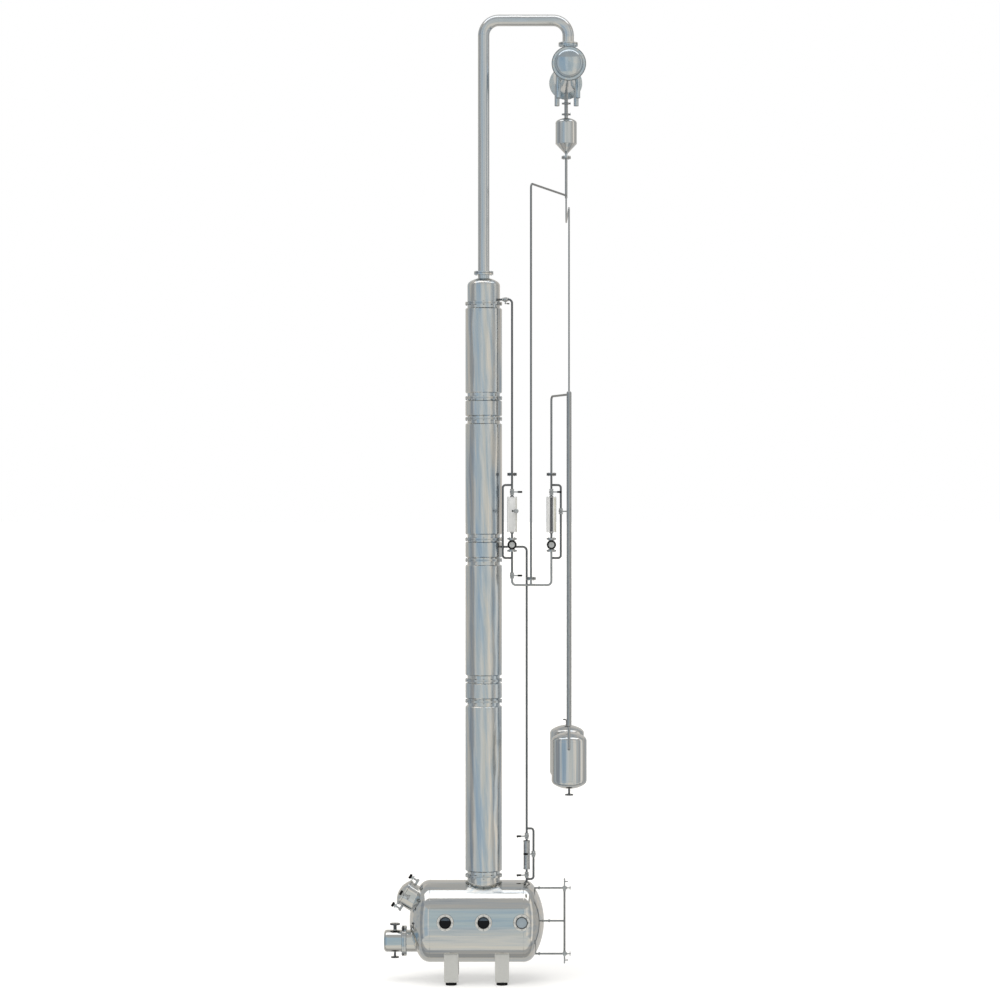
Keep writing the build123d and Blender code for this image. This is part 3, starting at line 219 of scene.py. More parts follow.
white = (1, 1, 1)
sheetStops = (0.34, 0.46, 0.55, 0.68)
pipeLook = {"stops": (0.35, 0.65), "grain": (8, 8, 1), "streakScale": 12, "cloudScale": 20,
            "waviness": 0.05, "waveDepth": 0.002, "roughness": 0.22, "spread": 0.12}
steelLooks = {
    "kettleSteel": {
        "stops": sheetStops, "grain": (0.10, 2.4, 2.4), "streakScale": 8,
        "tones": ((0.56, 0.60, 0.64), (0.67, 0.69, 0.70), (0.72, 0.71, 0.68), (0.79, 0.77, 0.73)),
        "cloudScale": 2.5, "waviness": 0.16, "waveDepth": 0.01, "roughness": 0.05, "spread": 0.05,
        # painted reflection: a bluer band round the shell's middle
        "heights": ((0.57, white), (0.61, (0.78, 0.90, 0.98)), (0.75, (0.76, 0.88, 0.98)), (0.79, white)),
    },
    "columnSteel": {
        "stops": sheetStops, "grain": (4.5, 4.5, 0.28), "streakScale": 3.2, "lean": (0.04, 0.06, 0),
        "tones": ((0.48, 0.57, 0.65), (0.62, 0.67, 0.71), (0.74, 0.73, 0.70), (0.84, 0.79, 0.73)),
        "waveGrain": (1.9, 1.9, 0.6), "cloudScale": 1.7, "waviness": 0.9, "waveDepth": 0.03,
        "roughness": 0.16, "spread": 0.08,
    },
    "vesselSteel": {
        "stops": sheetStops, "grain": (4.5, 4.5, 0.16), "streakScale": 5,
        "tones": ((0.50, 0.56, 0.61), (0.63, 0.66, 0.68), (0.72, 0.71, 0.69), (0.80, 0.78, 0.74)),
        "cloudScale": 2.5, "waviness": 0.12, "waveDepth": 0.008, "roughness": 0.05, "spread": 0.05,
    },
    "condenserSteel": {
        "stops": (0.36, 0.47, 0.56, 0.66), "grain": (2.2, 0.5, 2.2), "streakScale": 4,
        "tones": ((0.50, 0.58, 0.65), (0.57, 0.64, 0.69), (0.62, 0.66, 0.68), (0.70, 0.70, 0.69)),
        "cloudScale": 5, "waviness": 0.35, "waveDepth": 0.012, "roughness": 0.10, "spread": 0.08,
    },
    # one pipe steel in three tones: painted reflection and painted shade make some pipes darker and some
    # paler, for what each mirrors
    "pipeSteelPaintedDark": {**pipeLook, "tones": ((0.165, 0.17, 0.175), (0.235, 0.235, 0.24)), "roughness": 0.20},
    "pipeSteel": {**pipeLook, "tones": ((0.275, 0.287, 0.295), (0.345, 0.35, 0.355))},
    "pipeSteelPaintedPale": {**pipeLook, "tones": ((0.41, 0.422, 0.43), (0.49, 0.495, 0.495))},
    "fittingSteel": {
        **pipeLook, "tones": ((0.45, 0.46, 0.465), (0.59, 0.59, 0.59)), "grain": (8, 8, 8),
        "cloudScale": 40, "waviness": 0.08, "waveDepth": 0.001, "roughness": 0.20, "spread": 0.14,
    },
}
steelLooks.update({  # the same steels where they stand otherwise or mirror something else: copies whose painted reflection and painted shade are changed, some with another grain
    "riserSteel": {
        **steelLooks["columnSteel"], "grain": (4.5, 4.5, 0.05), "lean": (0, 0, 0),
        "tones": ((0.56, 0.61, 0.66), (0.65, 0.68, 0.71), (0.71, 0.71, 0.70), (0.78, 0.76, 0.73)),
    },
    "headSteel": {name: value for name, value in steelLooks["kettleSteel"].items() if name != "heights"},
    "heaterSteel": {
        **steelLooks["kettleSteel"],
        # painted reflection: a bluer band round the bonnet's middle
        "heights": ((0.36, white), (0.38, (0.76, 0.88, 0.97)), (0.44, (0.68, 0.84, 0.98)), (0.46, white)),
        # painted shade and dark reflection: the bonnet's nozzles below and above these heights are darker
        "darkTone": (0.13, 0.13, 0.135), "darkBelow": 0.288, "darkAbove": 0.514,
    },
    "drainSteel": {**steelLooks["vesselSteel"], "darkTone": (0.16, 0.16, 0.165), "darkBelow": 1.958},
})
steelLooks["crossoverSteel"] = {**steelLooks["riserSteel"], "grain": (0.25, 5, 3)}
plainLooks = {
    "satinSteel": {"dark": (0.68, 0.67, 0.635), "light": (0.76, 0.75, 0.715), "speckleScale": 60,
                   "metallic": 0.35, "roughness": 0.5, "spread": 0.1},
    "blackRubber": {"dark": (0.006, 0.006, 0.006), "light": (0.016, 0.016, 0.016), "speckleScale": 90,
                    "roughness": 0.55, "spread": 0.2, "ior": 1.25},
    "blackPlastic": {"dark": (0.003, 0.003, 0.003), "light": (0.008, 0.008, 0.008), "speckleScale": 50,
                     "roughness": 0.28, "spread": 0.1, "ior": 1.22},
    # painted reflection: lighter and bluer above the pane's middle
    "darkGlass": {"dark": (0.006, 0.007, 0.008), "light": (0.012, 0.013, 0.015), "speckleScale": 4,
                  "roughness": 0.02, "spread": 0.03, "ior": 1.2,
                  "paintedReflectionAbove": 0.668, "paintedReflectionTone": (0.09, 0.12, 0.15)},
    "paleGlassPaintedLight": {"dark": (0.30, 0.37, 0.42), "light": (0.38, 0.44, 0.48), "speckleScale": 6,
                  "roughness": 0.03, "spread": 0.03, "ior": 1.6},
    "sightGlass": {"dark": (0.42, 0.44, 0.44), "light": (0.62, 0.63, 0.61), "speckleScale": 14,
                   "roughness": 0.03, "spread": 0.03, "ior": 1.6},
    "gaugeGlass": {"dark": (0.10, 0.105, 0.105), "light": (0.17, 0.175, 0.17), "speckleScale": 14,
                   "roughness": 0.04, "spread": 0.03, "ior": 1.45},
    "meterGlass": {"dark": (0.13, 0.137, 0.15), "light": (0.22, 0.228, 0.245), "speckleScale": 12,
                   "roughness": 0.08, "spread": 0.05, "ior": 1.5},
    "meterWhite": {"dark": (0.76, 0.765, 0.755), "light": (0.84, 0.84, 0.83), "speckleScale": 30,
                   "roughness": 0.35, "spread": 0.1},
    "meterCream": {"dark": (0.72, 0.70, 0.60), "light": (0.80, 0.78, 0.69), "speckleScale": 30,
                   "roughness": 0.35, "spread": 0.1},
}
finishes = {name: steelFinish(name, look) for name, look in steelLooks.items()}
finishes.update({name: plainFinish(name, look) for name, look in plainLooks.items()})

nodeFinishes = {
    "kettleSteel": ["kettle_shell"],
    "headSteel": ["kettle_head_left", "kettle_head_right", "manway_neck", "manway_cover", "heater_neck",
                  "column_stub"],
    "heaterSteel": ["heater_bonnet"],
    "vesselSteel": ["receiver_shells", "receiver_top_heads", "separator_dome", "separator_shell",
                    "separator_cone"],
    "drainSteel": ["receiver_bottom_heads"],
    "columnSteel": ["column_section_1", "column_section_2", "column_section_3", "column_section_4",
                    "column_spool_1", "column_spool_2", "column_spool_3", "section_cladding",
                    "spool_cladding", "column_head"],
    "riserSteel": ["vapour_riser"],
    "crossoverSteel": ["vapour_crossover"],
    "condenserSteel": ["condenser_shell", "condenser_front_head", "condenser_rear_head",
                       "condenser_legs"],
    "pipeSteelPaintedPale": ["condensate_pipe", "separator_drop_pipe", "cooler_feed_pipe", "product_cooler",
                 "receiver_feed_pipes", "manifold_header"],
    "pipeSteel": ["reflux_feed_pipe", "product_riser", "gauge_arms"],
    "pipeSteelPaintedDark": ["meter_pipes", "reflux_riser", "bypass_pipes", "return_pipe", "receiver_vents"],
    "fittingSteel": ["manway_swing_bolts", "flow_sight_bodies", "return_meter", "ball_valves",
                     "valve_levers", "gauge_valves", "gauge_wheels"],
    "satinSteel": ["kettle_legs", "sight_glass_rings"],
    "blackRubber": ["kettle_feet"],
    "blackPlastic": ["manway_knobs"],
    "darkGlass": ["sight_glass_panes"],
    "sightGlass": ["flow_sight_glasses"],
    "gaugeGlass": ["gauge_glass"],
    "meterGlass": ["meter_tubes"],
    "meterWhite": ["meter_housings"],
}
for finish, nodes in nodeFinishes.items():
    for name in nodes:
        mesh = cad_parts[name].data
        mesh.materials.clear()
        mesh.materials.append(finishes[finish])
print("finishes set")


# Tools that several pieces share

meshing = {"mergeWithin": 0.000005, "smoothUpTo": 35}  # metres and degrees


def finishPiece(name, work, finish, stands=()):
    bmesh.ops.remove_doubles(work, verts=work.verts, dist=meshing["mergeWithin"])
    bmesh.ops.recalc_face_normals(work, faces=work.faces)
    mesh = bpy.data.meshes.new(name)
    work.to_mesh(mesh)
    work.free()
    mesh.materials.append(finishes[finish])
    piece = bpy.data.objects.new(name, mesh)
    bpy.context.scene.collection.objects.link(piece)
    mesh.shade_smooth()
    mesh.set_sharp_from_angle(angle=math.radians(meshing["smoothUpTo"]))
    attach(piece, "root")
    if stands:
        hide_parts(*stands)
    print("piece", name, len(mesh.polygons), "faces")


def turned(point, direction):  # a place whose Z runs along a direction
    turn = up.rotation_difference(Vector(direction).normalized()).to_matrix().to_4x4()
    return Matrix.Translation(point) @ turn


def framed(point, along, across):  # a place whose X runs along one direction and Z across it
    side = Vector(across).cross(Vector(along))
    turn = Matrix((along, side, across)).transposed().to_4x4()
    return Matrix.Translation(point) @ turn


def addRod(work, point, direction, diameter, length, sides=24, end=None):  # end is its far diameter
    direction = Vector(direction).normalized()
    bmesh.ops.create_cone(
        work, cap_ends=True, cap_tris=False, segments=sides, radius1=diameter / 2000,
        radius2=(diameter if end is None else end) / 2000, depth=length / 1000,
        matrix=turned(point + direction * length / 2000, direction))


def addBlock(work, place, size, bevel=0):
    scale = Matrix.Diagonal((size[0] / 1000, size[1] / 1000, size[2] / 1000, 1))
    made = bmesh.ops.create_cube(work, size=1, matrix=place @ scale)
    if bevel:
        edges = list({edge for corner in made["verts"] for edge in corner.link_edges})
        bmesh.ops.bevel(work, geom=edges, offset=bevel / 1000, offset_type="OFFSET", affect="EDGES",
                        segments=2, profile=0.5, material=-1)


def spinRound(work, point, direction, parts, steps):
    bmesh.ops.spin(work, geom=parts, cent=point, axis=direction, angle=2 * math.pi, steps=steps,
                   use_merge=True, use_duplicate=False)


def addHoop(work, point, direction, diameter, wire, steps=64, sides=8):
    place = turned(point, direction)
    ring = bmesh.ops.create_circle(work, cap_ends=False, segments=sides, radius=wire / 2000,
                                   matrix=place @ Matrix.Translation((diameter / 2000, 0, 0))
                                   @ Matrix.Rotation(math.pi / 2, 4, "X"))
    edges = list({edge for corner in ring["verts"] for edge in corner.link_edges})
    spinRound(work, point, direction, ring["verts"] + edges, steps)


def addLathe(work, point, direction, outline, steps=48):
    place = turned(point, direction)
    corners = [work.verts.new(place @ Vector((radius / 1000, 0, height / 1000)))
               for radius, height in outline]
    edges = [work.edges.new(pair) for pair in zip(corners, corners[1:])]
    spinRound(work, point, direction, corners + edges, steps)


ripple = {"overlap": 0.1, "taper": 0.8, "sides": 7}


def addBead(work, points, wire):  # a weld bead as short overlapping ripples along closed points
    for start, end in zip(points, points[1:] + points[:1]):
        run = end - start
        length = run.length * 1000 * (1 + 2 * ripple["overlap"])
        addRod(work, start - run * ripple["overlap"], run, wire, length, ripple["sides"],
               wire * ripple["taper"])


def aroundAxis(point, direction, diameter, count, start=0):
    place = turned(point, direction)
    turns = [math.radians(start) + 2 * math.pi * number / count for number in range(count)]
    return [place @ Vector((math.cos(turn) * diameter / 2000, math.sin(turn) * diameter / 2000, 0))
            for turn in turns]


hexCorners = 1 / math.cos(math.pi / 6)  # a hexagon over its corners, as a share of it over its flats
bolt = {"flats": 1.6, "washer": 2, "washerHeight": 0.16, "head": 0.55, "nut": 0.62, "thread": 1.05,
        "chamfer": 0.94}  # shares of the bolt's size, and the head's top as a share of its foot


def addHead(work, point, direction, size, height=bolt["head"]):  # a hexagon head with its washer
    across = size * bolt["flats"] * hexCorners
    washer = size * bolt["washerHeight"]
    addRod(work, point, direction, size * bolt["washer"], washer, 16)
    addRod(work, point, direction, across, size * height + washer, 6, across * bolt["chamfer"])


def addBolt(work, point, direction, size, grip):  # head on one side, nut and thread end on the other
    addHead(work, point + direction * grip / 2000, direction, size)
    addHead(work, point - direction * grip / 2000, -direction, size, bolt["nut"])
    addRod(work, point - direction * grip / 2000, -direction, size, size * bolt["thread"], 10)


# Gaskets and bolts of the flanged joints

columnJoint = {"circle": 347, "count": 12, "size": 8, "grip": 24, "gasket": 3, "proud": 0.8}
work = bmesh.new()
for height in plant["columnJoints"]:
    addHoop(work, at(0, 0, height), up, plant["columnFlange"] - columnJoint["gasket"] + columnJoint["proud"],
            columnJoint["gasket"], steps=96)
finishPiece("columnGaskets", work, "blackRubber")

work = bmesh.new()
for height in plant["columnJoints"]:
    for spot in aroundAxis(at(0, 0, height), up, columnJoint["circle"], columnJoint["count"]):
        addBolt(work, spot, up, columnJoint["size"], columnJoint["grip"])
finishPiece("columnBolts", work, "pipeSteel")

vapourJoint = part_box("vapour_riser")[0].z * 1000
smallJoint = {"axis": up, "flange": plant["pipeFlange"], "circle": 72, "count": 4, "size": 5, "grip": 28,
              "gasket": 3}
wideJoint = {"axis": up, "flange": plant["vapourFlange"], "circle": 164, "count": 8, "size": 6, "grip": 32,
             "gasket": 6}
pipeJoints = [
    {"point": at(0, 0, vapourJoint), **wideJoint},
    {"point": at(plant["condenserX"], 0, plant["inletJoint"]), **wideJoint},
    {"point": at(*plant["heaterJoint"]), "axis": right, "flange": 300, "circle": 266, "count": 12, "size": 7,
     "grip": 42, "gasket": 3},
    {"point": at(plant["condenserX"], plant["separatorY"], plant["dropJoint"]), **smallJoint},
    {"point": at(plant["feedX"], plant["manifoldY"], plant["feedJoint"]), **smallJoint},
]
for x in plant["risers"]:
    pipeJoints.append({"point": at(x, plant["manifoldY"], plant["riserJoint"]), **smallJoint})
for end in plant["condenserEnds"]:
    pipeJoints.append({"point": at(plant["condenserX"], end, plant["condenserHeight"]), "axis": forward,
                       "flange": plant["condenserFlange"], "circle": 314, "count": 16, "size": 8, "grip": 28,
                       "gasket": 3})
gasketProud = 1.4  # over the flange's diameter
work = bmesh.new()
for joint in pipeJoints:
    halfPitch = 180 / joint["count"]
    for spot in aroundAxis(joint["point"], joint["axis"], joint["circle"], joint["count"], halfPitch):
        addBolt(work, spot, joint["axis"], joint["size"], joint["grip"])
finishPiece("pipeBolts", work, "columnSteel")

work = bmesh.new()
for joint in pipeJoints:
    addHoop(work, joint["point"], joint["axis"], joint["flange"] - joint["gasket"] + gasketProud,
            joint["gasket"], steps=56, sides=6)
finishPiece("pipeGaskets", work, "blackRubber")

work = bmesh.new()  # turned edges of the wide flanges, and the foot of each condenser end
wideFlanges = {"heaterX": (-813.5, -774.5), "heaterDiameter": 297, "condenserOut": 13, "footDiameter": 280,
               "wire": 5, "condenserWire": 8, "condenserInset": 6}
for x in wideFlanges["heaterX"]:
    centre = at(x, 0, plant["heaterJoint"][2])
    addHoop(work, centre, right, wideFlanges["heaterDiameter"], wideFlanges["wire"], steps=72)
for end, outward in zip(plant["condenserEnds"], (-1, 1)):
    centre = at(plant["condenserX"], end + outward * wideFlanges["condenserOut"], plant["condenserHeight"])
    addHoop(work, centre, forward, plant["condenserFlange"] - wideFlanges["condenserInset"],
            wideFlanges["condenserWire"], steps=96)
    addHoop(work, centre, forward, wideFlanges["footDiameter"], wideFlanges["wire"], steps=96)
finishPiece("flangeEdges", work, "pipeSteel")
print("joints bolted")


# Weld beads on the vessels and the vapour line

seamWires = {"kettle": 5, "receiver": 3, "separator": 2.6, "column": 3, "vapour": 2.4}
seamWelds = [  # point, direction, diameter and bead
    (at(x, 0, plant["kettleHeight"]), right, plant["kettleDiameter"], seamWires["kettle"])
    for x in plant["kettleEnds"]]
for y in plant["receiverY"]:
    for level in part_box("receiver_shells"):
        seamWelds.append((at(plant["receiverX"], y, level.z * 1000), up, plant["receiverDiameter"],
                          seamWires["receiver"]))
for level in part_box("separator_shell"):
    seamWelds.append((at(plant["condenserX"], plant["separatorY"], level.z * 1000), up,
                      plant["separatorDiameter"], seamWires["separator"]))
seamWelds.append((at(0, 0, plant["headSeam"]), up, plant["columnDiameter"], seamWires["column"]))
bendStart = plant["vapourTop"] - plant["vapourBend"]
for point, axis in ((at(0, 0, bendStart), up), (at(plant["condenserX"], 0, bendStart), up),
                    (at(plant["vapourBend"], 0, plant["vapourTop"]), right),
                    (at(plant["condenserX"] - plant["vapourBend"], 0, plant["vapourTop"]), right)):
    seamWelds.append((point, axis, plant["vapourDiameter"], seamWires["vapour"]))
work = bmesh.new()
for point, axis, diameter, wire in seamWelds:
    addHoop(work, point, axis, diameter, wire, steps=96)
finishPiece("seamWelds", work, "kettleSteel")

kettleRadius = plant["kettleDiameter"] / 2
crownShare, knuckleShare = 0.8, 0.154  # radii of a dished end, as shares of its diameter
dish = {"crown": crownShare * plant["kettleDiameter"], "knuckle": knuckleShare * plant["kettleDiameter"]}
dish["corner"] = kettleRadius - dish["knuckle"]
dish["middle"] = -math.sqrt((dish["crown"] - dish["knuckle"]) ** 2 - dish["corner"] ** 2)
dish["turn"] = dish["crown"] * dish["corner"] / (dish["crown"] - dish["knuckle"])


def dishReach(radius):  # how far a dished end stands out at a distance from its axis
    if radius < dish["turn"]:
        return dish["middle"] + math.sqrt(dish["crown"] ** 2 - radius ** 2)
    return math.sqrt(max(dish["knuckle"] ** 2 - (radius - dish["corner"]) ** 2, 0))


def onLeftHead(start, run, reach=400, halvings=24):  # where a nozzle's line meets the left head
    near, far = 0.0, reach
    for step in range(halvings):
        middle = (near + far) / 2
        point = start + run * middle
        radius = math.hypot(point.y, point.z - plant["kettleHeight"])
        inside = plant["kettleEnds"][0] - point.x < dishReach(min(radius, kettleRadius))
        near, far = (middle, far) if inside else (near, middle)
    return start + run * near


nozzleWelds = {
    "ripples": 84, "wire": 5, "sightWire": 4, "stubRadius": 162.5, "sightRadius": 75, "manwayRadius": 128,
    "heaterRadius": 109.5, "runIn": 120, "legWidth": 140, "legDepth": 100, "legRipples": 10,
    "legOverlap": 1.1,
}
turns = [2 * math.pi * number / nozzleWelds["ripples"] for number in range(nozzleWelds["ripples"])]
work = bmesh.new()
radius = nozzleWelds["stubRadius"]
addBead(work, [at(radius * math.cos(turn), radius * math.sin(turn), plant["kettleHeight"]
                  + math.sqrt(kettleRadius ** 2 - (radius * math.sin(turn)) ** 2)) for turn in turns],
        nozzleWelds["wire"])
radius = nozzleWelds["sightRadius"]
for x in plant["sightX"]:
    points = []
    for turn in turns:
        rise = plant["sightHeight"] - plant["kettleHeight"] + radius * math.sin(turn)
        points.append(at(x + radius * math.cos(turn), -math.sqrt(kettleRadius ** 2 - rise ** 2),
                         plant["kettleHeight"] + rise))
    addBead(work, points, nozzleWelds["sightWire"])
tilt = math.radians(plant["manwayTilt"])
manwayAxis = Vector((-math.cos(tilt), 0, math.sin(tilt)))
for foot, axis, radius in ((Vector(plant["manwayFoot"]), manwayAxis, nozzleWelds["manwayRadius"]),
                           (Vector(plant["heaterFoot"]), left, nozzleWelds["heaterRadius"])):
    rise = axis.cross(backward)
    points = []
    for turn in turns:
        ring = (backward * math.cos(turn) + rise * math.sin(turn)) * radius
        points.append(at(*onLeftHead(foot - axis * nozzleWelds["runIn"] + ring, axis)))
    addBead(work, points, nozzleWelds["wire"])
for x in plant["legX"]:
    for y in plant["legRows"]:
        for sideX, sideY in ((0, -1), (1, 0), (0, 1), (-1, 0)):
            span = nozzleWelds["legWidth"] if sideY else nozzleWelds["legDepth"]
            points = []
            for number in range(nozzleWelds["legRipples"] + 1):
                shift = (number / nozzleWelds["legRipples"] - 0.5) * span
                pointX = x + sideX * nozzleWelds["legWidth"] / 2 + (shift if sideY else 0)
                pointY = y + sideY * nozzleWelds["legDepth"] / 2 + (shift if sideX else 0)
                drop = math.sqrt(kettleRadius ** 2 - pointY ** 2)
                points.append(at(pointX, pointY, plant["kettleHeight"] - drop))
            for start, end in zip(points, points[1:]):
                addRod(work, start, end - start, nozzleWelds["wire"],
                       (end - start).length * 1000 * nozzleWelds["legOverlap"], ripple["sides"])
finishPiece("nozzleWelds", work, "satinSteel")
print("seams welded")


# Lap seams of the column's cladding, on its far side, with blind rivets

cladding = {"angle": 118, "width": 26, "thickness": 1.2, "sunk": 0.6, "bevel": 0.4, "endGap": 22,
            "rivet": 9, "rivetTop": 4.5, "rivetHeight": 1.6, "rivetSunk": 0.8, "rivetGap": 35.2, "pitch": 118,
            "sheets": ((1104, 2752), (3056, 4160), (4464, 5572), (5876, 6724),
                       (2826, 2982), (4234, 4390), (5646, 5802))}
work = bmesh.new()
angle = math.radians(cladding["angle"])
outward = Vector((math.cos(angle), math.sin(angle), 0))
for bottom, top in cladding["sheets"]:
    radius = plant["claddingDiameter"] / 2
    reach = radius + cladding["thickness"] / 2 - cladding["sunk"]
    middle = at(0, 0, (bottom + top) / 2) + outward * reach / 1000
    size = (cladding["width"], top - bottom - 2 * cladding["endGap"], cladding["thickness"])
    addBlock(work, framed(middle, outward.cross(up), outward), size, cladding["bevel"])
    count = max(2, round((top - bottom) / cladding["pitch"]))
    reach = radius + cladding["thickness"] - cladding["rivetSunk"]
    for number in range(count):
        share = number / (count - 1)
        height = bottom + cladding["rivetGap"] + (top - bottom - 2 * cladding["rivetGap"]) * share
        addRod(work, at(0, 0, height) + outward * reach / 1000, outward, cladding["rivet"],
               cladding["rivetHeight"], 12, cladding["rivetTop"])
finishPiece("claddingSeams", work, "columnSteel")


# Sight glasses: panes, black seals, a black hoop behind each frame as a painted shadow, and cap screws

sight = {"pane": 112, "play": 0.2, "crown": 1.6, "seal": 8, "sealBack": 1, "screwCircle": 139, "screws": 8,
         "screw": 12, "screwTop": 10.8, "screwHeight": 5.6, "socket": 6.4, "socketDepth": 0.6,
         "socketRise": 5.2, "shadowHoopDiameter": 166.4, "shadowHoopWire": 3, "shadowHoopBack": 15}
faceY = (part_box("sight_glass_rings")[0].y - columnAxis.y) * 1000
paneFront, paneBack = (corner.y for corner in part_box("sight_glass_panes"))
paneY = (paneFront - columnAxis.y) * 1000
paneDepth = (paneBack - paneFront) * 1000
work = bmesh.new()
for x in plant["sightX"]:
    centre = at(x, faceY, plant["sightHeight"])
    for spot in aroundAxis(centre, forward, sight["screwCircle"], sight["screws"], 90):
        addRod(work, spot, forward, sight["screw"], sight["screwHeight"], 16, sight["screwTop"])
        addRod(work, spot + forward * (sight["socketRise"] / 1000), forward, sight["socket"],
               sight["socketDepth"], 6)
finishPiece("sightScrews", work, "fittingSteel")

work = bmesh.new()
for x in plant["sightX"]:
    addHoop(work, at(x, min(faceY, paneY) + sight["sealBack"], plant["sightHeight"]), forward, sight["pane"],
            sight["seal"], steps=72)
    # painted shadow: a black hoop behind each frame stands for the shadow gap between the frame and the
    # kettle
    addHoop(work, at(x, faceY + sight["shadowHoopBack"], plant["sightHeight"]), forward, sight["shadowHoopDiameter"],
            sight["shadowHoopWire"], steps=72)
finishPiece("sightSealsAndShadowHoops", work, "blackRubber")

# painted light: the right pane is coloured pale blue-grey, unlike the two dark panes, for the light seen in
# it
paneSets = {"sightPanes": (plant["sightX"][:2], "darkGlass"),
            "sightPaneRight": (plant["sightX"][2:], "paleGlassPaintedLight")}
for name, (places, finish) in paneSets.items():
    work = bmesh.new()
    radius = sight["pane"] / 2 - sight["play"]
    outline = [(0, -paneDepth), (radius, -paneDepth), (radius, 0)]
    for share in (0.75, 0.5, 0.25, 0):
        outline.append((radius * share, sight["crown"] * (1 - share ** 2)))
    for x in places:
        addLathe(work, at(x, paneY, plant["sightHeight"]), forward, outline, steps=64)
    finishPiece(name, work, finish, ("sight_glass_panes",))
print("sight glasses dressed")


# Manway: seal, hinge pins of the swing bolts and their washers

manway = {"neckLength": 100, "rimDiameter": 270, "seal": 4, "sealOut": 0.1, "bolts": 4, "boltCircle": 330,
          "pinSetback": 46, "pin": 9, "pinLength": 46, "pinHead": 15.3, "pinHeadTop": 12.6,
          "pinHeadHeight": 3, "washer": 32, "washerThickness": 3, "washerBase": 13.3}
axis = manwayAxis
manwayRim = at(*plant["manwayFoot"]) + axis * manway["neckLength"] / 1000
work = bmesh.new()
addHoop(work, manwayRim + axis * (manway["sealOut"] / 1000), axis,
        manway["rimDiameter"] - manway["seal"] + gasketProud, manway["seal"], steps=72)
finishPiece("manwaySeal", work, "blackRubber")

work = bmesh.new()
rise = axis.cross(backward)
for number in range(manway["bolts"]):
    turn = 2 * math.pi * number / manway["bolts"]
    outward = backward * math.cos(turn) + rise * math.sin(turn)
    pivot = manwayRim + outward * manway["boltCircle"] / 2000 - axis * manway["pinSetback"] / 1000
    across = outward.cross(axis)
    addRod(work, pivot - across * manway["pinLength"] / 2000, across, manway["pin"], manway["pinLength"], 14)
    for end in (-1, 1):
        addRod(work, pivot + across * end * manway["pinLength"] / 2000, across * end, manway["pinHead"],
               manway["pinHeadHeight"], 14, manway["pinHeadTop"])
    base = manwayRim + outward * manway["boltCircle"] / 2000 + axis * manway["washerBase"] / 1000
    addRod(work, base, axis, manway["washer"], manway["washerThickness"])
finishPiece("manwayPins", work, "fittingSteel")
print("manway dressed")


# Valves: grips on the levers, stem nuts and the screws of the bodies

manifoldY = plant["manifoldY"]
leftX, rightX = plant["risers"]
refluxRun = Vector((leftX, manifoldY, 0)).normalized()
refluxSide = refluxRun.cross(up)
valves = {
    "stem": 34, "play": 0.3, "leverThickness": 5, "leverLength": 106, "leverWidth": 13,
    "gripSize": (46, 19, 12), "gripBevel": 4, "gripOver": 2, "nut": 8, "nutEnd": 8.8,
    "collarRise": 20, "collar": 22, "collarTop": 18, "collarHeight": 5,
    "screw": 8, "screwHeight": 5, "screwSpread": 24, "screwReach": 11, "screwRise": 18,
    "places": [  # where each stands, how its pipe runs, where its stem points, where its lever lies
        (at(leftX, manifoldY, 4056), up, forward, right), (at(leftX, manifoldY, 4888), up, forward, right),
        (at(rightX, manifoldY, 4888), up, forward, right), (at(769, manifoldY, 4695.3), up, forward, right),
        (at(plant["returnX"], 0, 1450), up, forward, left),
        (at(plant["returnX"], 0, 1061), up, forward, left), (at(498, 0, 1271), up, forward, left),
        (at(refluxRun.x * 230, refluxRun.y * 230, 6808), refluxRun, down, -refluxSide),
        (at(326, manifoldY - 61.3, 4698.4), forward, left, forward)],
}
work = bmesh.new()
for place, run, stem, lever in valves["places"]:
    face = place + stem * (valves["stem"] + valves["play"] + valves["leverThickness"] / 2) / 1000
    reach = (valves["leverLength"] - valves["leverWidth"] / 2 - valves["gripSize"][0] / 2
             + valves["gripOver"])
    addBlock(work, framed(face + lever * reach / 1000, lever, stem), valves["gripSize"], valves["gripBevel"])
finishPiece("leverGrips", work, "blackPlastic")

work = bmesh.new()
for place, run, stem, lever in valves["places"]:
    top = place + stem * (valves["stem"] + valves["play"] + valves["leverThickness"]) / 1000
    addHead(work, top, stem, valves["nut"])
    addRod(work, top, stem, valves["nut"], valves["nutEnd"], 12)
    addRod(work, place + stem * valves["collarRise"] / 1000, stem, valves["collar"], valves["collarHeight"],
           end=valves["collarTop"])
    side = run.cross(stem)
    for end in (-1, 1):
        for across in (-1, 1):
            screw = (place + run * end * valves["screwReach"] / 1000
                     + side * across * valves["screwSpread"] / 2000 + stem * (valves["screwRise"] / 1000))
            addRod(work, screw, stem, valves["screw"], valves["screwHeight"], 12)
finishPiece("valveScrews", work, "fittingSteel")
print("valves dressed")


# Flow sights: black seals, screwed glass rings and the bolts of their flanges

flowSight = {"height": 4362, "face": 42, "seal": 17, "sealDiameter": 75, "ring": 91, "ringWire": 2.4,
             "ringSunk": 0.4, "screws": 6, "screwCircle": 88, "screw": 5.1, "screwTop": 4.5,
             "screwHeight": 2.7, "jointReach": 59.5, "jointCircle": 72, "joints": 4, "bolt": 7, "grip": 18}
work = bmesh.new()
for x in plant["risers"]:
    for direction in (forward, backward):
        centre = at(x, manifoldY, flowSight["height"]) + direction * flowSight["face"] / 1000
        addHoop(work, centre, direction, flowSight["sealDiameter"], flowSight["seal"], sides=10)
finishPiece("flowSightSeals", work, "blackRubber")

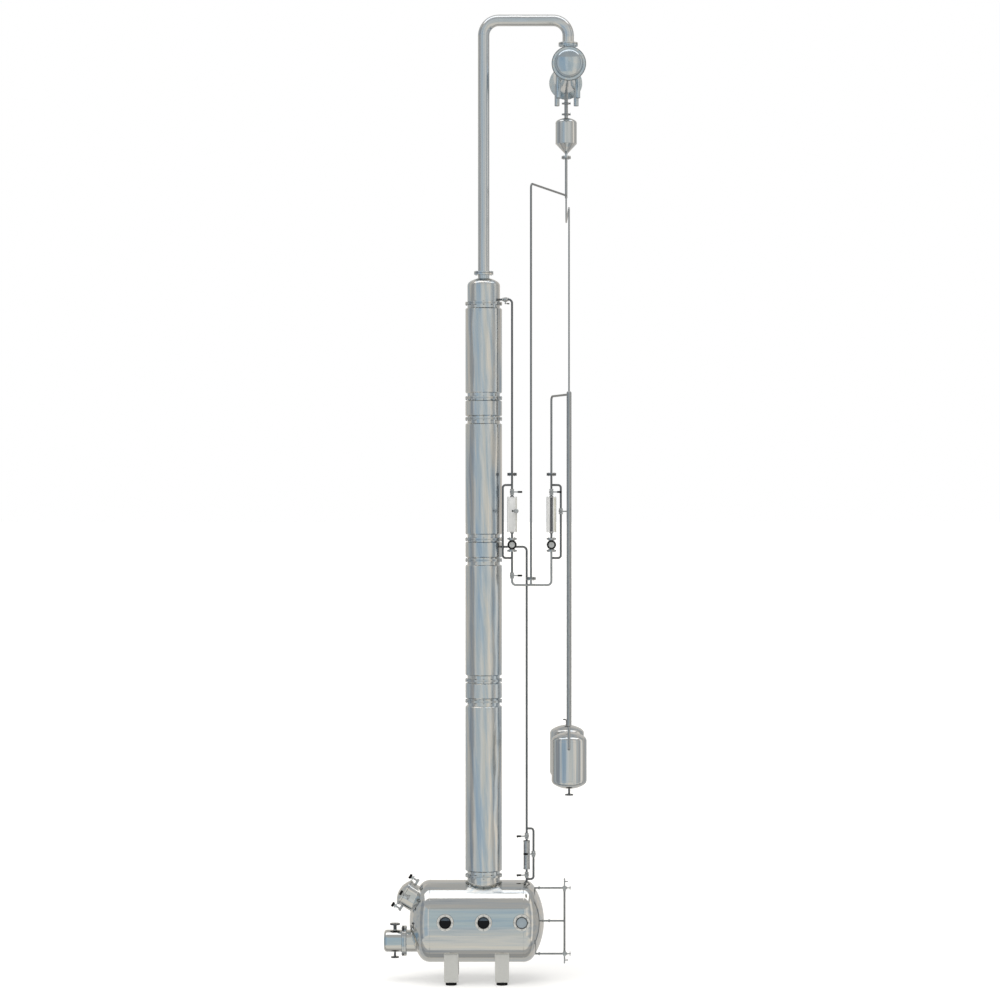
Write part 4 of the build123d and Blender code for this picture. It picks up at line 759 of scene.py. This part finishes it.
work = bmesh.new()
for x in plant["risers"]:
    for direction in (forward, backward):
        reach = flowSight["face"] - flowSight["ringSunk"]
        centre = at(x, manifoldY, flowSight["height"]) + direction * reach / 1000
        addHoop(work, centre, direction, flowSight["ring"], flowSight["ringWire"])
        for spot in aroundAxis(centre, direction, flowSight["screwCircle"], flowSight["screws"], 30):
            addRod(work, spot, direction, flowSight["screw"], flowSight["screwHeight"], 14,
                   flowSight["screwTop"])
    for end in (down, up):
        flange = at(x, manifoldY, flowSight["height"]) + end * (flowSight["jointReach"] / 1000)
        for spot in aroundAxis(flange, end, flowSight["jointCircle"], flowSight["joints"], 45):
            addBolt(work, spot, end, flowSight["bolt"], flowSight["grip"])
finishPiece("flowSightRings", work, "fittingSteel")


# Variable-area meters: a bare scale plate on the left, a glass tube with its cream scale on the right

meter = {
    "bottom": 4489, "top": 4838, "width": 97, "depth": 64, "window": 44, "tube": 28, "tubePlay": 0.5,
    "plate": {"over": 2, "depth": 3, "back": 2.5, "shorter": 8, "bevel": 0.6},
    "strip": {"over": 1, "depth": 2, "back": 3, "shorter": 8, "bevel": 0.4},
    "scale": {"widths": (8, 22), "margin": 4, "depth": 1.2, "out": 0.4, "shorter": 10, "bevel": 0.3},
    "ticks": {"count": 24, "every": 4, "short": 7, "long": 13, "margin": 7, "start": 24, "out": 1.1,
              "depth": 0.4, "height": 1},
    "collar": {"diameter": 46, "top": 40, "height": 7, "sunk": 1},
    "screw": {"diameter": 8, "top": 7, "height": 3.5, "inset": 9},
    "edge": {"width": 3, "depth": 1.4, "out": 0.6, "bevel": 0.5},
}
meterFace = manifoldY - meter["depth"] / 2
meterEdge = meter["width"] / 2
middleHeight = (meter["bottom"] + meter["top"]) / 2
meterHeight = meter["top"] - meter["bottom"]


def addFacing(work, x, y, width, look):  # a strip as tall as a meter, or a little shorter
    size = (width, look["depth"], meterHeight - look.get("shorter", 0))
    addBlock(work, Matrix.Translation(at(x, y, middleHeight)), size, look["bevel"])


work = bmesh.new()
plate = meter["plate"]
addFacing(work, leftX, meterFace + plate["back"], meter["window"] + plate["over"], plate)
finishPiece("meterPlateLeft", work, "meterWhite", ("meter_tubes",))

work = bmesh.new()
strip = meter["strip"]
for across in (-1, 1):  # the back of the right window shows pale beside the tube
    addFacing(work, rightX + across * (meter["tube"] + meter["window"]) / 4, meterFace + strip["back"],
              (meter["window"] - meter["tube"]) / 2 + strip["over"], strip)
finishPiece("meterWindowStrips", work, "meterWhite")

work = bmesh.new()
addRod(work, at(rightX, manifoldY, meter["bottom"] + meter["tubePlay"]), up, meter["tube"],
       meterHeight - 2 * meter["tubePlay"], 48)
finishPiece("meterTubeRight", work, "meterGlass", ("meter_tubes",))

work = bmesh.new()
scale = meter["scale"]
for x, width in zip(plant["risers"], scale["widths"]):
    addFacing(work, x + meterEdge - scale["margin"] - width / 2, meterFace - scale["out"], width, scale)
finishPiece("meterScales", work, "meterCream")

work = bmesh.new()
ticks = meter["ticks"]
tickSpan = meterHeight - 2 * ticks["start"]
for x in plant["risers"]:
    for number in range(ticks["count"] + 1):
        length = ticks["short"] if number % ticks["every"] else ticks["long"]
        height = meter["bottom"] + ticks["start"] + tickSpan * number / ticks["count"]
        place = at(x + meterEdge - ticks["margin"] - length / 2, meterFace - ticks["out"], height)
        addBlock(work, Matrix.Translation(place), (length, ticks["depth"], ticks["height"]))
finishPiece("meterTicks", work, "meterGlass")

work = bmesh.new()
collar, screw, edge = meter["collar"], meter["screw"], meter["edge"]
for x in plant["risers"]:
    for end, level in ((down, meter["bottom"]), (up, meter["top"])):
        addRod(work, at(x, manifoldY, level) - end * (collar["sunk"] / 1000), end, collar["diameter"],
               collar["height"], 32, collar["top"])
        for across in (-1, 1):
            for deep in (-1, 1):
                corner = at(x + across * (meterEdge - screw["inset"]),
                            manifoldY + deep * (meter["depth"] / 2 - screw["inset"]), level)
                addRod(work, corner, end, screw["diameter"], screw["height"], 14, screw["top"])
    for across in (-1, 1):  # pressed edges down the front of each housing
        addFacing(work, x + across * (meterEdge - edge["width"] / 2), meterFace - edge["out"],
                  edge["width"], edge)
finishPiece("meterFittings", work, "fittingSteel")
print("manifold dressed")


# Return line's flowmeter: end collars and a dark strip down its front left

returnMeter = {"bottom": 1117, "top": 1403, "diameter": 63, "collar": 10, "collarDiameter": 68, "taper": 3,
               "darkStrip": (18, 6, 210), "darkStripTurn": -45, "darkStripOut": 21, "darkStripBevel": 2}
work = bmesh.new()
for level, end in ((returnMeter["bottom"], up), (returnMeter["top"], down)):
    base = at(plant["returnX"], 0, level)
    addRod(work, base, end, returnMeter["collarDiameter"], returnMeter["collar"], 48)
    addRod(work, base + end * returnMeter["collar"] / 1000, end, returnMeter["collarDiameter"],
           returnMeter["taper"], 48, returnMeter["diameter"])
finishPiece("returnMeterCollars", work, "pipeSteelPaintedPale")

work = bmesh.new()
middle = (returnMeter["bottom"] + returnMeter["top"]) / 2
place = Matrix.Translation(at(plant["returnX"] - returnMeter["darkStripOut"], -returnMeter["darkStripOut"], middle))
addBlock(work, place @ Matrix.Rotation(math.radians(returnMeter["darkStripTurn"]), 4, "Z"), returnMeter["darkStrip"],
         returnMeter["darkStripBevel"])
finishPiece("returnMeterDarkStrip", work, "meterGlass")


# Clamps of the condensate pipe: a hinge knuckle on both sides and a wing nut on the right

clamp = {"heights": (8894, 8782), "diameter": 74, "width": 18, "knuckle": 12, "knuckleOut": 2, "bolt": 6,
         "boltOut": 5, "boltReach": 14, "boltLength": 34, "hub": 12, "hubTop": 9, "hubHeight": 8,
         "wing": (3, 8, 13), "wingOut": 6, "wingRise": 10, "wingTurn": 25, "wingBevel": 1.2}
work = bmesh.new()
for height in clamp["heights"]:
    centre = at(plant["condenserX"], plant["separatorY"], height)
    for side in (right, left):
        knuckle = centre + side * (clamp["diameter"] / 2 + clamp["knuckleOut"]) / 1000
        addRod(work, knuckle - up * clamp["width"] / 2000, up, clamp["knuckle"], clamp["width"], 20)
    middle = centre + right * (clamp["diameter"] / 2 + clamp["boltOut"]) / 1000
    reach = forward * (clamp["boltReach"] / 1000)
    addRod(work, middle - reach, forward, clamp["bolt"], clamp["boltLength"], 14)
    addRod(work, middle + reach, forward, clamp["hub"], clamp["hubHeight"], 20, clamp["hubTop"])
    for end in (-1, 1):
        place = middle + reach + Vector((0, -clamp["wingOut"], end * clamp["wingRise"])) / 1000
        turn = Matrix.Rotation(math.radians(end * clamp["wingTurn"]), 4, "X")
        addBlock(work, Matrix.Translation(place) @ turn, clamp["wing"], clamp["wingBevel"])
finishPiece("clampNuts", work, "fittingSteel")


# Level gauge: packing nuts, guard rods and spindles

gauge = {"x": 808, "low": 271, "high": 929, "body": 17, "guardReach": 15, "guard": 5, "packing": 26,
         "packingTop": 20.8, "nutLength": 10.8, "glandLength": 7.2, "stemNut": 24, "stemNutLength": 9,
         "stemOut": 59, "spindle": 9, "spindleLength": 6}
work = bmesh.new()
for level, outward in ((gauge["low"], up), (gauge["high"], down)):
    centre = at(gauge["x"], 0, level)
    base = centre + outward * (gauge["body"] / 1000)
    addRod(work, base, outward, gauge["packing"] * hexCorners, gauge["nutLength"], 6)
    addRod(work, base + outward * gauge["nutLength"] / 1000, outward, gauge["packing"], gauge["glandLength"],
           end=gauge["packingTop"])
    addRod(work, centre + right * (gauge["body"] / 1000), right, gauge["stemNut"] * hexCorners,
           gauge["stemNutLength"], 6)
    addRod(work, centre + right * (gauge["stemOut"] / 1000), right, gauge["spindle"],
           gauge["spindleLength"], 6)
for across in (-1, 1):
    foot = at(gauge["x"], across * gauge["guardReach"], gauge["low"] + gauge["body"])
    addRod(work, foot, up, gauge["guard"], gauge["high"] - gauge["low"] - 2 * gauge["body"], 12)
finishPiece("gaugeFittings", work, "fittingSteel")


# Feet: a rolled rim round each rubber pad

footRim = {"height": 15, "diameter": 109, "wire": 3}
work = bmesh.new()
for x in plant["legX"]:
    for y in plant["legRows"]:
        addHoop(work, at(x, y, footRim["height"]), up, footRim["diameter"], footRim["wire"])
finishPiece("footRims", work, "blackRubber")
print("gauge and feet dressed")


# Floor, panels that the steel mirrors, lamps and camera

def stagePiece(name, work, material):
    mesh = bpy.data.meshes.new(name)
    work.to_mesh(mesh)
    work.free()
    mesh.materials.append(material)
    piece = bpy.data.objects.new(name, mesh)
    bpy.context.scene.collection.objects.link(piece)
    return piece


def addCard(name, work, tone):  # glows, and is seen only in the steel
    material, shader = newShader(name + "Tone")
    shader.finish(shader.glow(tone))
    card = stagePiece(name, work, material)
    card.visible_camera = False
    card.visible_diffuse = False
    card.visible_shadow = False
    card.visible_transmission = False


floorLook = {"radius": 900, "colour": (0.655, 0.645, 0.62), "lift": 0.44}
floorMaterial, shader = newShader("paleFloor")
light = shader.node("ShaderNodeLightPath")
matt = shader.node("ShaderNodeBsdfDiffuse", {}, {"Color": rgba(floorLook["colour"])}).out("BSDF")
lift = shader.glow(white, light.out("Is Camera Ray") * floorLook["lift"])
shader.finish(shader.node("ShaderNodeAddShader", {}, {0: matt, 1: lift}).out("Shader"))
work = bmesh.new()
bmesh.ops.create_circle(work, cap_ends=True, segments=96, radius=floorLook["radius"])
stagePiece("floor", work, floorMaterial).visible_glossy = False  # the steel mirrors the strips below it

studio = {  # metres
    "radius": 46, "depth": -30, "height": 40, "peak": 46,
    "panels": [  # from and to, in degrees round from the camera, and the tone that the steel mirrors there
        (-180, -140, (0.62, 0.60, 0.56)), (-140, -98, (0.50, 0.51, 0.50)), (-98, -66, (0.33, 0.35, 0.37)),
        (-66, -50, (0.58, 0.61, 0.62)), (-50, -18, (0.46, 0.55, 0.62)), (-18, -4, (0.66, 0.70, 0.71)),
        (-4, 24, (0.62, 0.65, 0.64)), (24, 46, (0.80, 0.77, 0.71)), (46, 60, (0.60, 0.61, 0.59)),
        (60, 78, (0.46, 0.47, 0.47)), (78, 98, (0.86, 0.83, 0.77)), (98, 136, (0.46, 0.46, 0.45)),
        (136, 180, (0.62, 0.60, 0.57)),
    ],
    "ceiling": (0.48, 0.485, 0.48),
    # the two middle ground strips are darker: a painted shadow of the floor under the plant, as the steel
    # mirrors it
    "groundX": 60, "ground": [  # strips below the floor, from front to back
        (-60, -5, (0.74, 0.73, 0.68)), (-5, 4, (0.44, 0.44, 0.43)), (4, 16, (0.36, 0.36, 0.35)),
        (16, 60, (0.58, 0.57, 0.54)),
    ],
    "skylight": {"x": 30, "y": (-10.9, 9.2), "height": 39, "tone": (1.6, 1.6, 1.6)},
}
for number, (start, end, tone) in enumerate(studio["panels"]):
    work = bmesh.new()
    reach = studio["radius"]
    angle = math.radians(start)
    foot, top = (work.verts.new((math.sin(angle) * reach, -math.cos(angle) * reach, height))
                 for height in (studio["depth"], studio["height"]))
    edge = work.edges.new((foot, top))
    bmesh.ops.spin(work, geom=[foot, top, edge], cent=(0, 0, 0), axis=(0, 0, 1),
                   angle=math.radians(end - start), steps=6, use_merge=False, use_duplicate=False)
    addCard(f"panel{number}", work, tone)
work = bmesh.new()
bmesh.ops.create_cone(work, cap_ends=False, cap_tris=False, segments=64, radius1=studio["radius"], radius2=0,
                      depth=studio["peak"] - studio["height"],
                      matrix=Matrix.Translation((0, 0, (studio["peak"] + studio["height"]) / 2)))
addCard("ceiling", work, studio["ceiling"])
skylight = studio["skylight"]
strips = [("skylight", *skylight["y"], skylight["tone"], skylight["x"], skylight["height"])]
for number, (near, far, tone) in enumerate(studio["ground"]):
    strips.append((f"ground{number}", near, far, tone, studio["groundX"], studio["depth"]))
for name, near, far, tone, reach, height in strips:
    work = bmesh.new()
    bmesh.ops.create_grid(work, x_segments=1, y_segments=1, size=0.5, matrix=Matrix.Translation(
        (0, (near + far) / 2, height)) @ Matrix.Diagonal((2 * reach, far - near, 1, 1)))
    addCard(name, work, tone)

lamps = {  # wide soft suns: strength, spread in degrees, and where each shines from
    "overhead": {"strength": 1.5, "spread": 46, "from": (-0.10, -0.22, 1)},
    "leftKey": {"strength": 0.55, "spread": 40, "from": (-0.8, -0.9, 0.75)},
}
for name, lamp in lamps.items():
    data = bpy.data.lights.new(name, "SUN")
    data.energy = lamp["strength"]
    data.angle = math.radians(lamp["spread"])
    sun = bpy.data.objects.new(name, data)
    sun.rotation_euler = Vector(lamp["from"]).to_track_quat("Z", "Y").to_euler()
    sun.visible_glossy = False  # the panels are what the steel mirrors
    bpy.context.scene.collection.objects.link(sun)

world = bpy.data.worlds.new("studioWorld")
bpy.context.scene.world = world
world.use_nodes = True
shader = Shader(world.node_tree)
light = shader.node("ShaderNodeLightPath")
seen = light.out("Is Camera Ray").larger(light.out("Is Glossy Ray")).larger(light.out("Is Transmission Ray"))
ambient = 0.55
sky = shader.node("ShaderNodeBackground", {}, {
    "Color": (1, 1, 1, 1), "Strength": ambient + seen * (1 - ambient)}).out("Background")
shader.finish(sky, "World")

view = {"place": (0.1515, -28.0347, 4.808), "turn": (math.pi / 2, 0, 0),
        "lens": 100, "sensor": 36, "clip": 600}
camera = bpy.data.cameras.new("camera")
camera.lens = view["lens"]
camera.sensor_width = view["sensor"]
camera.clip_end = view["clip"]
viewer = bpy.data.objects.new("camera", camera)
viewer.location = view["place"]
viewer.rotation_euler = view["turn"]
bpy.context.scene.collection.objects.link(viewer)
bpy.context.scene.camera = viewer
bpy.context.scene.view_settings.view_transform = "Standard"
print("stage set")
